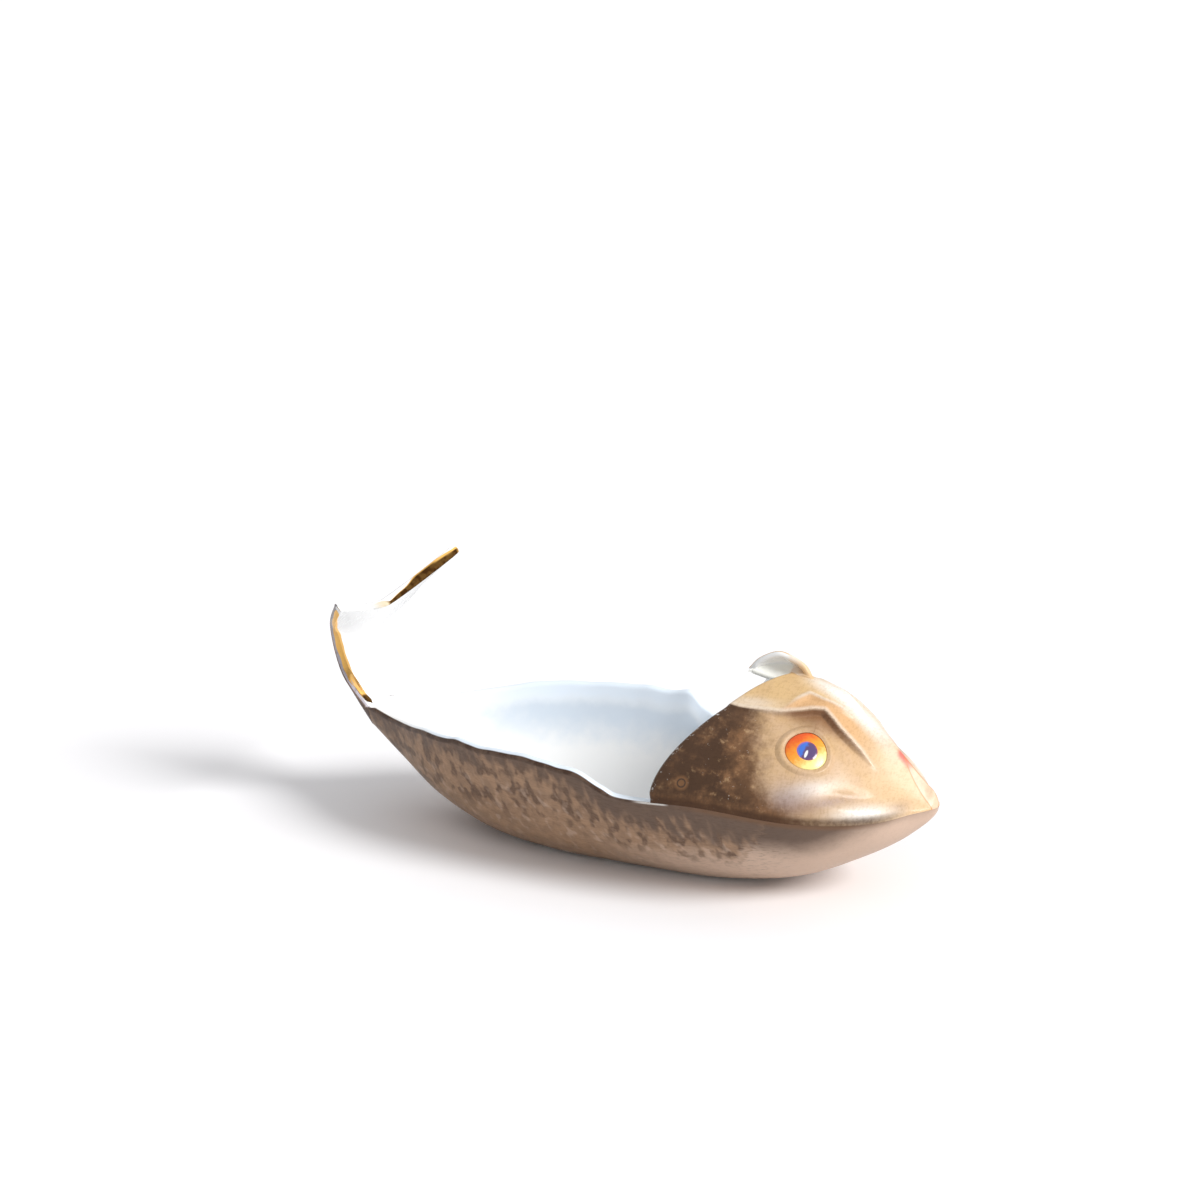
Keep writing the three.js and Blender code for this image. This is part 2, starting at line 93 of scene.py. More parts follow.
# Place along the body, half breadth in parts of half the beam and rise of the rim, then place and height of the keel.
STATIONS = [
    (0, 0.167, TAIL_ROOT_RISE, -0.004, TAIL_ROOT_Z - TAIL_ROOT_DEPTH),
    (0.072, 0.341, 0.9, 0.064, 11.4),
    (0.168, 0.637, 2.3, 0.144, 5.4),
    (0.272, 0.863, 3.7, 0.256, 0.9),
    (0.384, 0.974, 3.9, 0.376, -0.6),
    (0.472, 1, 3.1, 0.472, -FOOT_CUT),
    (0.544, 1, -0.1, 0.552, -FOOT_CUT),
    (0.68, 0.985, 0.4, 0.672, -0.5),
    (0.824, 0.878, -0.9, 0.792, 2.5),
    (0.92, 0.55, -SNOUT_DROP - 0.3, 0.888, 7.8),
    (0.972, 0.233, -SNOUT_DROP - 0.1, 0.96, 13.2),
    (1, 0, -SNOUT_DROP, 1, SNOUT_Z),
]
# Crest of the head from its back to the snout, in parts of its length and height.
FACE = [(1, 1), (0.82, 0.955), (0.627, 0.83), (0.44, 0.6), (0.273, 0.375), (0.113, 0.155), (0, 0)]


def smooth(x, low, high):
    """0 below low, 1 above high and an even curve between."""
    t = np.clip((np.asarray(x, float) - low) / (high - low), 0, 1)
    return t * t * (3 - 2 * t)


def stretch(x, start, full, last, end):
    """0 before start, 1 from full to last and 0 after end."""
    return smooth(x, start, full) * (1 - smooth(x, last, end))


def bell(x, middle, breadth):
    return np.exp(-(((np.asarray(x, float) - middle) / breadth) ** 2))


def unit(vectors):
    return vectors / np.maximum(np.linalg.norm(vectors, axis=-1, keepdims=True), 1e-12)


class Rail:
    """A smooth curve through points whose first and last are handles, for u from 0 to 1."""

    VALUE = np.array([[-0.5, 1.5, -1.5, 0.5], [1, -2.5, 2, -0.5], [-0.5, 0, 0.5, 0], [0, 1, 0, 0]])
    RATE = np.array([np.zeros(4), 3 * VALUE[0], 2 * VALUE[1], VALUE[2]])

    def __init__(self, points):
        self.points = np.array(points, float)
        self.spans = len(points) - 3

    def weigh(self, u, rows):
        t = np.asarray(u, float) * self.spans
        k = np.clip(np.floor(t).astype(int), 0, self.spans - 1)
        f = t - k
        weights = np.stack([f**3, f**2, f, np.ones_like(f)], -1) @ rows
        return sum(weights[..., i, None] * self.points[k + i] for i in range(4))

    def at(self, u):
        return self.weigh(u, self.VALUE)

    def slope(self, u):
        return self.weigh(u, self.RATE)


def run_on(points):
    return 2 * np.array(points[0]) - np.array(points[1])


def run_out(points):
    return 2 * np.array(points[-1]) - np.array(points[-2])


RIM = [(STERN_X + f * BODY_LENGTH, b * BEAM / 2, RIM_HEIGHT + rise) for f, b, rise, _, _ in STATIONS]
KEEL = [(STERN_X + f * BODY_LENGTH, 0, z) for _, _, _, f, z in STATIONS]
CREST = [(SNOUT_X - back * HEAD_LENGTH, 0, HOOD_Z + up * (CREST_HEIGHT - HOOD_Z)) for back, up in FACE]
rim = Rail([run_on(RIM), *RIM, (RIM[-2][0], -RIM[-2][1], RIM[-2][2])])
keel = Rail([run_on(KEEL), *KEEL, (KEEL[-2][0], 0, 2 * SNOUT_Z - KEEL[-2][2])])
crest = Rail([run_on(CREST), *CREST, (CREST[-2][0], 0, 2 * HOOD_Z - CREST[-2][2])])


def rim_at(u, inset):
    slope = unit(rim.slope(u) * (1, 1, 0))
    across = np.stack([slope[..., 1], -slope[..., 0], 0 * slope[..., 0]], -1)
    return rim.at(u) + across * np.asarray(inset)[..., None]


def keel_at(u, inset):
    slope = unit(keel.slope(u))
    up = np.stack([-slope[..., 2], 0 * slope[..., 0], slope[..., 0]], -1)
    return keel.at(u) + up * np.asarray(inset)[..., None]


# Hand-pinched waves of the rim: side, place along the rim, breadth of the wave and rise in millimetres.
RIM_WAVES = [
    (1, 0.475, 0.03, 1.7),
    (1, 0.39, 0.02, 0.35),
    (1, 0.30, 0.02, -0.25),
    (1, 0.22, 0.025, 0.3),
    (-1, 0.17, 0.02, 0.25),
    (-1, 0.245, 0.014, 0.35),
    (-1, 0.29, 0.016, -0.3),
    (-1, 0.36, 0.02, 0.3),
    (-1, 0.425, 0.016, -0.25),
]
DISH_FULLNESS = 2.9
BILGE = 0.4
CLOSED_SEAM = 0.02  # the slip that fills the seam leaves only this


def dish_point(u, v, t):
    """The dish at u along it, v from its right rim to its left rim and t from its outside to its inside."""
    side = np.sin((v - 0.5) * np.pi)
    reach = np.abs(side)
    top = rim_at(u, t * WALL)
    low = keel_at(u, t * WALL)
    wave = sum(rise * bell(u, place, breadth) * (side * hand > 0) for hand, place, breadth, rise in RIM_WAVES)
    full = DISH_FULLNESS + BILGE * bell(u, 0.37, 0.16)
    lift = reach**full
    lead = reach**1.5
    x = low[..., 0] + (top[..., 0] - low[..., 0]) * lead
    y = top[..., 1] * side
    z = low[..., 2] + (top[..., 2] - low[..., 2]) * lift + wave * reach**9
    return np.stack([x, y, np.maximum(z, 0)], -1)


def head_point(u, v, t):
    """The head at u from its back to the snout, v from the right seam to the left and t from outside to inside."""
    inset = t * WALL
    seam = rim_at(HEAD_START + (1 - HEAD_START) * u, inset)
    slope = unit(crest.slope(u))
    nose = stretch(u, 0.42, 0.65, 0.88, 1)
    inward = np.stack([slope[..., 2], 0 * slope[..., 0], -slope[..., 0]], -1)
    top = crest.at(u) + inward * np.asarray(inset - NOSE_RIDGE * nose)[..., None]
    side = -np.cos(v * np.pi)
    blunt = 0.1 - 0.055 * nose
    out = np.sqrt(side * side + blunt * blunt) - blunt
    pitch = BACK_PITCH + (FACE_PITCH - BACK_PITCH) * u + NOSE_PITCH * nose * (1 - out)
    rise = (1 - pitch * out) * np.sin(v * np.pi)
    base = seam[..., 2] + CLOSED_SEAM
    x = seam[..., 0] + (top[..., 0] - seam[..., 0]) * (1 - np.abs(side))
    return np.stack([x, seam[..., 1] * side, base + (top[..., 2] - base) * rise], -1)


STEP = 1e-3  # the step for slopes, in parts of a surface


def normal_of(surface, u, v, side=1):
    along = surface(u + STEP, v) - surface(u - STEP, v)
    across = surface(u, v + STEP) - surface(u, v - STEP)
    return side * unit(np.cross(along, across))


def head_base(u, v):
    return head_point(u, v, np.zeros_like(u))


# Brow fold and the softer ridge above it, as places (u, v) on the right side of the head.
BROW = [(0.0, 0.352), (0.05, 0.35), (0.115, 0.357), (0.18, 0.368), (0.23, 0.392), (0.26, 0.41), (0.295, 0.423),
        (0.34, 0.412), (0.385, 0.399), (0.48, 0.381), (0.58, 0.355)]
RIDGE = [(0.17, 0.375), (0.185, 0.425), (0.2, 0.45), (0.265, 0.451), (0.383, 0.465), (0.47, 0.496), (0.55, 0.46),
         (0.58, 0.42)]
# Places of the mouth along the head, where its lines start in parts of its length, and half its breadth.
MOUTH_TOP = 0.585
MOUTH_FOOT = 0.93
MOUTH_START = 0.26
MOUTH_OPEN = 2.2
# Heights and depths of the relief on the head, in millimetres.
BROW_LIP = 0.5
BROW_HOLLOW = 0.95
RIDGE_HEIGHT = 0.3
FACET_DEPTH = 0.25
JOWL_HEIGHT = 0.8
CHEEK_HEIGHT = 0.5
GROOVE_DEPTH = 0.5
SEAM_OVERLAP = 0.1


def line_points(places, count=200):
    """Evenly parted points on the head along a line of places on its right side."""
    places = np.array(places)
    s = np.linspace(0, len(places) - 1, count)
    u = np.interp(s, np.arange(len(places)), places[:, 0])
    v = np.interp(s, np.arange(len(places)), places[:, 1])
    return head_base(u, v)


def off_line(points, line):
    """Distance of each point from a line of points, and where along the line that is, 0 to 1."""
    flat = points.reshape(-1, 3)
    best = np.full(len(flat), 1e9)
    place = np.zeros(len(flat))
    for k, spot in enumerate(line):
        d = np.linalg.norm(flat - spot, axis=1)
        closer = d < best
        best[closer] = d[closer]
        place[closer] = k / (len(line) - 1)
    return best.reshape(points.shape[:-1]), place.reshape(points.shape[:-1])


def head_marks(u, v):
    """Distances in millimetres on the head that both its relief and its painting follow, as if on the right side.
    brow is positive above the fold, ridge positive between fold and ridge."""
    w = np.minimum(v, 1 - v)
    at = head_base(u, w)
    away, along = off_line(at, line_points(BROW))
    brow = np.where(w > np.interp(u, *np.array(BROW).T), away, -away)
    away, ridge_along = off_line(at, line_points(RIDGE))
    under = (w < np.interp(u, *np.array(RIDGE).T)) & (u > RIDGE[0][0]) & (u < RIDGE[-1][0])
    fall = (u - MOUTH_TOP) / (MOUTH_FOOT - MOUTH_TOP)
    return dict(u=u, w=w, at=at, brow=brow, along=along, ridge=np.where(under, away, -away), ridge_along=ridge_along,
                fall=fall, across=at[..., 1])


def spot(marks, place, long, wide, tilt=0.0):
    """A soft oval on the head about a place (u, v), 1 in its middle: half length, half breadth and tilt."""
    u, v = np.array(place)
    middle = head_base(u, v)
    ahead = unit(head_base(u + STEP, v) - middle)
    up = head_base(u, v + STEP) - middle
    up = unit(up - ahead * (up @ ahead))
    off = marks["at"] - middle
    a, b = off @ ahead, off @ up
    c, s = math.cos(tilt), math.sin(tilt)
    return np.exp(-(((a * c + b * s) / long) ** 2 + ((b * c - a * s) / wide) ** 2))


def head_relief(marks):
    """How far the clay stands out of the plain head, in millimetres."""
    u, brow = marks["u"], marks["brow"]
    strength = (0.25 + 0.75 * smooth(u, 0.08, 0.26)) * (1 - smooth(u, 0.42, 0.57)) * smooth(u, -0.02, 0.04)
    step = smooth(brow, -0.6, 0.15)
    lip = BROW_LIP * step * np.exp(-((np.maximum(brow, 0) / 2.2) ** 2))
    hollow = -BROW_HOLLOW * (1 - step) * np.exp(-((np.maximum(-brow - 0.4, 0) / 2.6) ** 2))
    ridge = RIDGE_HEIGHT * bell(marks["ridge"], 0, 0.9) * smooth(marks["ridge_along"], 0, 0.15)
    ridge = ridge * (1 - smooth(marks["ridge_along"], 0.45, 0.66))
    facet = -FACET_DEPTH * smooth(marks["ridge"], 0, 1.5) * smooth(brow, 0, 1.5) * (1 - smooth(u, 0.36, 0.5))
    jowl = JOWL_HEIGHT * spot(marks, (0.53, 0.1), 8.0, 2.1, 0.05)
    cheek = CHEEK_HEIGHT * spot(marks, (0.36, 0.16), 8, 4)
    groove = -GROOVE_DEPTH * spot(marks, (0.5, 0.185), 5.5, 1.5, 0.1)
    overlap = SEAM_OVERLAP * (1 - smooth(marks["w"], 0, 0.02))
    return strength * (lip + hollow) + ridge + facet + jowl + cheek + groove + overlap


def head_outside(u, v):
    marks = head_marks(u, v)
    return head_base(u, v) + normal_of(head_base, u, v) * head_relief(marks)[..., None]


# Tail fin
TAIL_ROOT = rim_at(np.array(0.0), np.array(0.0))
TAIL_SILL = keel_at(np.array(0.0), np.array(0.0))
TIP_RISE = TAIL_TIP_HEIGHT - TAIL_ROOT_Z
NOTCH_RISE = TAIL_NOTCH_HEIGHT - TAIL_ROOT_Z
EDGE = [
    TAIL_ROOT,
    np.array((TAIL_ROOT[0] - 3.4, 0.37 * TAIL_SPAN / 2, TAIL_ROOT_Z + 0.28 * TIP_RISE)),
    np.array((TAIL_ROOT[0] - 1.6, 0.67 * TAIL_SPAN / 2, TAIL_ROOT_Z + 0.72 * TIP_RISE)),
    np.array((TAIL_ROOT[0] + TAIL_LEAN, TAIL_SPAN / 2, TAIL_TIP_HEIGHT)),
]
SPINE = [
    TAIL_SILL,
    np.array((TAIL_ROOT[0] - TAIL_HOLLOW, 0, TAIL_ROOT_Z + 0.2 * NOTCH_RISE)),
    np.array((TAIL_ROOT[0] - TAIL_HOLLOW + 1, 0, TAIL_ROOT_Z + 0.61 * NOTCH_RISE)),
    np.array((TAIL_ROOT[0] + 0.2 * TAIL_LEAN, 0, TAIL_NOTCH_HEIGHT)),
]
edge = Rail([TAIL_ROOT + 8 * unit(rim.slope(0.0)), *EDGE, run_out(EDGE)])
spine = Rail([TAIL_SILL + 8 * unit(keel.slope(0.0)), *SPINE, run_out(SPINE)])
FIN_FULLNESS = 1.3
ROOT_BLEND = 0.25


def fin_back(u, v):
    side = 2 * v - 1
    out, mid = edge.at(u), spine.at(u)
    full = DISH_FULLNESS + (FIN_FULLNESS - DISH_FULLNESS) * smooth(u, 0, 0.5)
    lead = np.abs(side) ** full
    x = mid[..., 0] + (out[..., 0] - mid[..., 0]) * lead
    z = mid[..., 2] + (out[..., 2] - mid[..., 2]) * lead
    return np.stack([x, out[..., 1] * side, z], -1)


def fin_through(u, v):
    around = 0.5 + np.arcsin(np.clip(2 * v - 1, -1, 1)) / np.pi
    nought, one = np.zeros_like(u), np.ones_like(u)
    root = dish_point(nought, around, one) - dish_point(nought, around, nought)
    square = normal_of(fin_back, u, v, -1) * TAIL_WALL
    blend = smooth(u, 0, ROOT_BLEND)[..., None]
    return root * (1 - blend) + square * blend


TOP_SPAN = np.linalg.norm(SPINE[-1] - SPINE[-2]) * (len(SPINE) - 1)


def fin_point(u, v, margin, t):
    """The fin at u up it, v from its right edge to its left and t from its back to its front, drawn in by margin."""
    low = u * (1 - margin / TOP_SPAN)
    middle = 0.5 + (v - 0.5) * (1 - margin / edge.at(low)[..., 1])
    return fin_back(low, middle) + fin_through(low, middle) * np.asarray(t, float)[..., None]


# Cupped lobe on the crest
def lip_rail(places):
    back = crest.at(np.array(0.0))
    points = [back + np.array((x, CURL_CUP * y, z)) for x, y, z in places]
    return Rail([run_on(points), *points, run_out(points)])


CURL_PART = CURL_WALL / 4
CURL_SINK = 0.5 * CURL_RISE
upper_lip = lip_rail([
    (CURL_ROOT, 0.15, CURL_PART - CURL_SINK), (0.5 * CURL_ROOT, 0.15, 0.45 * CURL_RISE),
    (-0.09 * CURL_LENGTH, 0, 0.9 * CURL_RISE), (-0.38 * CURL_LENGTH, -0.15, CURL_RISE),
    (-0.76 * CURL_LENGTH, -0.35, 0.62 * CURL_RISE), (-CURL_LENGTH, -0.5, CURL_PART),
])
lower_lip = lip_rail([
    (CURL_ROOT, 0.15, -CURL_PART - CURL_SINK), (0.5 * CURL_ROOT, 0.15, -0.55 * CURL_DROP),
    (-0.11 * CURL_LENGTH, 0.1, -0.9 * CURL_DROP), (-0.45 * CURL_LENGTH, -0.15, -CURL_DROP),
    (-0.79 * CURL_LENGTH, -0.4, -0.55 * CURL_DROP), (-CURL_LENGTH, -0.5, -CURL_PART),
])


def cup(u, v):
    """The lobe's left side at u from its root to its tip and v from its upper to its lower lip."""
    at = upper_lip.at(u) * (1 - v)[..., None] + lower_lip.at(u) * v[..., None]
    at[..., 1] += CURL_CUP * np.sin(np.pi * u) * np.sin(np.pi * v)
    return at


def curl_point(u, v, t):
    return cup(u, v) + normal_of(cup, u, v) * CURL_WALL * t[..., None]


# Meshes


def grid_of(counts):
    """A grid of places u along and v across a surface."""
    return np.meshgrid(*(np.linspace(0, 1, count) for count in counts), indexing="ij")


def shell(point, u, v, round_edge, steps=6):
    """A closed sheet between point(u, v, 0) and point(u, v, 1) with edges rounded by round_edge(u, v).
    Returns points, faces, the grid place of each point and its t."""
    outside = point(u, v, np.zeros_like(u)).reshape(-1, 3)
    inside = point(u, v, np.ones_like(u)).reshape(-1, 3)
    count = u.size
    grid = np.arange(count).reshape(u.shape)
    points, places, depths = [outside, inside], [np.arange(count)] * 2, [np.zeros(count), np.ones(count)]
    a, b, c, d = grid[:-1, :-1], grid[:-1, 1:], grid[1:, 1:], grid[1:, :-1]
    out_quads = np.stack([a, b, c, d], -1).reshape(-1, 4)
    faces = [out_quads, out_quads[:, ::-1] + count]
    total = 2 * count
    reach = round_edge(u, v).ravel()
    for line, behind, flip in (
        (grid[0], grid[1], True),
        (grid[-1], grid[-2], False),
        (grid[:, 0], grid[:, 1], False),
        (grid[:, -1], grid[:, -2], True),
    ):
        middle = (outside[line] + inside[line]) / 2
        half = (outside[line] - inside[line]) / 2
        out = middle - (outside[behind] + inside[behind]) / 2
        size = np.maximum((half * half).sum(1, keepdims=True), 1e-12)
        out = out - half * (out * half).sum(1, keepdims=True) / size
        out = unit(out) * np.sqrt(size) * reach[line][:, None]
        rings = [line]
        for s in range(1, steps):
            turn = math.pi * s / steps
            points.append(middle + half * math.cos(turn) + out * math.sin(turn))
            places.append(line)
            depths.append(np.full(len(line), (1 - math.cos(turn)) / 2))
            rings.append(np.arange(len(line)) + total)
            total += len(line)
        rings.append(line + count)
        ring = np.stack(rings)
        four = [ring[:-1, :-1], ring[:-1, 1:], ring[1:, 1:], ring[1:, :-1]]
        faces.append(np.stack(four[::-1] if flip else four, -1).reshape(-1, 4))
    return np.concatenate(points), np.concatenate(faces), np.concatenate(places), np.concatenate(depths)


SHARP_ANGLE = math.radians(50)
WELD = 2e-6  # points closer than this, in metres, are one
SLIVER = 1e-7


def add_object(name, data):
    made = bpy.data.objects.new(name, data)
    bpy.context.scene.collection.objects.link(made)
    return made


def make_object(name, points, faces, material, marks):
    """A smooth mesh of millimetre points with named marks on its points, like points joined and faces outwards."""
    mesh = bpy.data.meshes.new(name)
    mesh.from_pydata((points * MM).tolist(), [], [list(f) for f in faces.tolist()])
    for key, values in marks.items():
        values = np.asarray(values, np.float32)
        if values.ndim == 1:
            mesh.attributes.new(key, "FLOAT", "POINT").data.foreach_set("value", values)
        else:
            mesh.attributes.new(key, "FLOAT_VECTOR", "POINT").data.foreach_set("vector", values.ravel())
    work = bmesh.new()
    work.from_mesh(mesh)
    bmesh.ops.remove_doubles(work, verts=work.verts, dist=WELD)
    bmesh.ops.dissolve_degenerate(work, edges=work.edges, dist=SLIVER)
    bmesh.ops.recalc_face_normals(work, faces=work.faces)
    for face in work.faces:
        face.smooth = True
    for side in work.edges:
        side.smooth = side.calc_face_angle(0.0) < SHARP_ANGLE
    work.to_mesh(mesh)
    work.free()
    mesh.materials.append(material)
    return add_object(name, mesh)


def stand_for(piece, node):
    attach(piece, "root")
    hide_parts(node)


def down_from_rim(points):
    """Length along each row of a grid of points from its nearer end."""
    steps = np.linalg.norm(np.diff(points, axis=1), axis=-1)
    run = np.concatenate([np.zeros((len(points), 1)), np.cumsum(steps, axis=1)], axis=1)
    return np.minimum(run, run[:, -1:] - run)


def fade_ends(s, share=0.04):
    return stretch(s, 0, share, 1 - share, 1)


# Node trees


class Sheet:
    """Puts nodes in a tree and joins them."""

    def __init__(self, tree):
        self.tree = tree

    def put(self, kind, *inputs, **settings):
        node = self.tree.nodes.new(kind)
        for key, value in settings.items():
            setattr(node, key, value)
        for k, value in enumerate(inputs):
            self.join(value, node.inputs[k])
        return node

    def join(self, value, target):
        if isinstance(value, bpy.types.NodeSocket):
            self.tree.links.new(value, target)
        else:
            target.default_value = value

    def math(self, operation, *inputs):
        return self.put("ShaderNodeMath", *inputs, operation=operation).outputs[0]

    def times(self, first, *others):
        for value in others:
            first = self.math("MULTIPLY", first, value)
        return first

    def line(self, value, rate, start):
        """value * rate + start."""
        return self.math("MULTIPLY_ADD", value, rate, start)

    def ramp(self, value, low, high, start=0.0, end=1.0):
        node = self.put("ShaderNodeMapRange", value, low, high, start, end, interpolation_type="SMOOTHSTEP")
        return node.outputs[0]

    def stretch(self, value, start, full, last, end):
        """0 before start, 1 from full to last and 0 after end."""
        return self.times(self.ramp(value, start, full), self.ramp(value, end, last))

    def near(self, value, middle, breadth):
        """1 where the value is at the middle, fading to 0 at the breadth to either side."""
        return self.ramp(self.math("ABSOLUTE", self.math("SUBTRACT", value, middle)), breadth, 0.0)

    def mix(self, factor, a, b, blend="MIX"):
        node = self.put("ShaderNodeMix", data_type="RGBA", blend_type=blend)
        self.join(factor, node.inputs[0])
        self.join(a, node.inputs[6])
        self.join(b, node.inputs[7])
        return node.outputs[2]

    def span(self, mask, start, end):
        """From start where a mask is 0 to end where it is 1."""
        return self.ramp(mask, 0.0, 1.0, start, end)

    def group(self, group, **inputs):
        node = self.put("ShaderNodeGroup", node_tree=group)
        for key, value in inputs.items():
            self.join(value, node.inputs[key.replace("_", " ").capitalize()])
        return node.outputs

    def mark(self, name):
        return self.put("ShaderNodeAttribute", attribute_name=name)

    def marks(self, name):
        return self.apart(self.mark(name).outputs["Vector"])

    def apart(self, vector):
        return self.put("ShaderNodeSeparateXYZ", vector).outputs

    def place(self):
        """The place on the object in millimetres."""
        at = self.put("ShaderNodeTexCoord").outputs["Object"]
        node = self.put("ShaderNodeVectorMath", at, operation="SCALE")
        node.inputs["Scale"].default_value = 1 / MM
        return node.outputs[0]

    def noise(self, vector, scale, detail=3.0, rough=0.55):
        node = self.put("ShaderNodeTexNoise", noise_dimensions="3D")
        self.join(vector, node.inputs["Vector"])
        self.join(scale, node.inputs["Scale"])
        node.inputs["Detail"].default_value = detail
        node.inputs["Roughness"].default_value = rough
        return node.outputs[0]

    def wander(self, vector, scale, reach, detail=3.0):
        """A slow noise from about -reach to reach."""
        return self.line(self.noise(vector, scale, detail), 4.0 * reach, -2.0 * reach)

    def blot(self, place, scale, cover=0.5, soft=0.14):
        return self.group(shared("sponge"), Place=place, Scale=scale, Cover=cover, Soft=soft)[0]

    def spot(self, ahead, rise, middle, half, tilt=0.0):
        """A soft oval on the side of the fish, 1 in its middle."""
        return self.group(shared("spot"), Ahead=ahead, Rise=rise, Middle_ahead=middle[0], Middle_rise=middle[1],
                          Long=half[0], Wide=half[1], Tilt=tilt)[0]


def rgba(colour):
    return (*colour[:3], 1.0)


class Painting:
    """A colour that grows as others are laid over it through the product of masks."""

    def __init__(self, sheet, paint, ground):
        self.sheet, self.paint = sheet, paint
        self.colour = rgba(getattr(paint, ground))

    def lay(self, name, *masks):
        """Lays on one of the paints by its name."""
        self.cover(rgba(getattr(self.paint, name)), *masks)

    def cover(self, colour, *masks, blend="MIX"):
        self.colour = self.sheet.mix(self.sheet.times(*masks), self.colour, colour, blend)


def new_group(name, inputs, outputs):
    """A shader node group of float sockets, apart from one called Place, which is a vector."""
    tree = bpy.data.node_groups.new(name, "ShaderNodeTree")
    for way, labels in (("INPUT", inputs), ("OUTPUT", outputs)):
        for label in labels:
            kind = "NodeSocketVector" if label == "Place" else "NodeSocketFloat"
            tree.interface.new_socket(label, in_out=way, socket_type=kind)
    sheet = Sheet(tree)
    return tree, sheet, sheet.put("NodeGroupInput").outputs, sheet.put("NodeGroupOutput").inputs


def sponge_group():
    """Mottle as of a sponge or a drying wash: Mask is 1 in its blots."""
    tree, s, i, o = new_group("Sponged mottle", ["Place", "Scale", "Cover", "Soft"], ["Mask"])
    big = s.noise(i["Place"], i["Scale"], 5.0, 0.6)
    bare = s.math("SUBTRACT", 1.0, i["Cover"])
    s.join(s.ramp(big, s.math("SUBTRACT", bare, i["Soft"]), s.math("ADD", bare, i["Soft"])), o["Mask"])
    return tree


def grain_group():
    """Fine streaks of a brush drawn along the fish: Value from 0 to 1."""
    tree, s, i, o = new_group("Brush grain", ["Place", "Scale"], ["Value"])
    drawn = s.put("ShaderNodeVectorMath", i["Place"], (0.22, 1.0, 1.0), operation="MULTIPLY").outputs[0]
    s.join(s.noise(drawn, i["Scale"], 4.0, 0.65), o["Value"])
    return tree


def weave_group():
    """Fine crossed grain, as of a cloth pressed into the clay: Value from 0 to 1."""
    tree, s, i, o = new_group("Cloth grain", ["Place", "Scale"], ["Value"])
    turned = []
    for stretch in ((1.0, 0.25, 0.25), (0.25, 0.5, 1.0)):
        drawn = s.put("ShaderNodeVectorMath", i["Place"], stretch, operation="MULTIPLY").outputs[0]
        turned.append(s.noise(drawn, i["Scale"], 2.0, 0.6))
    s.join(s.times(s.math("ADD", *turned), 0.5), o["Value"])
    return tree


def glaze_group():
    """The skin of a fired glaze: slow waves and fine peel as Height, and Roughness about a given one."""
    tree, s, i, o = new_group("Fired glaze", ["Place", "Gloss"], ["Roughness", "Height"])
    waves = s.noise(i["Place"], 0.22, 2.0, 0.5)
    peel = s.noise(i["Place"], 2.6, 2.0, 0.5)
    cloud = s.ramp(s.noise(i["Place"], 0.5, 3.0, 0.6), 0.3, 0.7, -0.05, 0.07)
    s.join(s.math("ADD", i["Gloss"], cloud), o["Roughness"])
    s.join(s.math("ADD", s.times(waves, 0.8), s.times(peel, 0.05)), o["Height"])
    return tree


# How far the sides are slanted: what lies outwards falls back and down, and what lies ahead falls.
SIDE_BACK = 0.473
SIDE_DOWN = 0.281
SIDE_FALL = 0.1417


def side_group():
    """A place on either side of the fish as Ahead and Rise, slanted as a painter at its right bow would see them."""
    tree, s, i, o = new_group("Painted side", ["Place"], ["Ahead", "Rise"])
    x, y, z = s.apart(i["Place"])
    out = s.math("ABSOLUTE", y)
    s.join(s.line(out, -SIDE_BACK, x), o["Ahead"])
    s.join(s.line(out, -SIDE_DOWN, s.line(x, -SIDE_FALL, z)), o["Rise"])
    return tree


def spot_group():
    """A soft oval spot: Mask is 1 in its middle."""
    tree, s, i, o = new_group(
        "Soft spot", ["Ahead", "Rise", "Middle ahead", "Middle rise", "Long", "Wide", "Tilt"], ["Mask"]
    )
    x = s.math("SUBTRACT", i["Ahead"], i["Middle ahead"])
    y = s.math("SUBTRACT", i["Rise"], i["Middle rise"])
    c, n = s.math("COSINE", i["Tilt"]), s.math("SINE", i["Tilt"])
    a = s.math("DIVIDE", s.math("ADD", s.times(x, c), s.times(y, n)), i["Long"])
    b = s.math("DIVIDE", s.math("SUBTRACT", s.times(y, c), s.times(x, n)), i["Wide"])
    off = s.math("ADD", s.times(a, a), s.times(b, b))
    s.join(s.math("EXPONENT", s.times(off, -1.0)), o["Mask"])
    return tree


def stroke_group():
    """Noise drawn out into slanted brush strokes on the flank: Value from 0 to 1."""
    tree, s, i, o = new_group("Slanted strokes", ["Along", "Down", "Breadth", "Length", "Slant", "Seed"], ["Value"])
    across = s.math("DIVIDE", s.math("SUBTRACT", i["Along"], s.times(i["Down"], i["Slant"])), i["Breadth"])
    spread = s.put("ShaderNodeCombineXYZ", across, s.math("DIVIDE", i["Down"], i["Length"]), i["Seed"]).outputs[0]
    s.join(s.noise(spread, 1.0, 1.5, 0.5), o["Value"])
    return tree


GROUPS = {}


def shared(name):
    """A shared node group by its short name, built once."""
    makers = dict(sponge=sponge_group, grain=grain_group, weave=weave_group, glaze=glaze_group, side=side_group,
                  spot=spot_group, stroke=stroke_group)
    if name not in GROUPS:
        GROUPS[name] = makers[name]()
    return GROUPS[name]


def bare_sheet(owner):
    """The emptied node sheet of a material or a world."""
    owner.use_nodes = True
    owner.node_tree.nodes.clear()
    return Sheet(owner.node_tree)


def new_finish(name):
    """A material with its sheet of nodes and its Principled shader."""
    material = bpy.data.materials.new(name)
    sheet = bare_sheet(material)
    shader = sheet.put("ShaderNodeBsdfPrincipled")
    sheet.join(shader.outputs[0], sheet.put("ShaderNodeOutputMaterial").inputs["Surface"])
    return material, sheet, shader


GLAZE_IOR = 1.5
GLAZE_SHINE = 0.2
COAT_ROUGHNESS = 0.12
GLAZE_RELIEF = 0.35
GOLD_RELIEF = 0.4


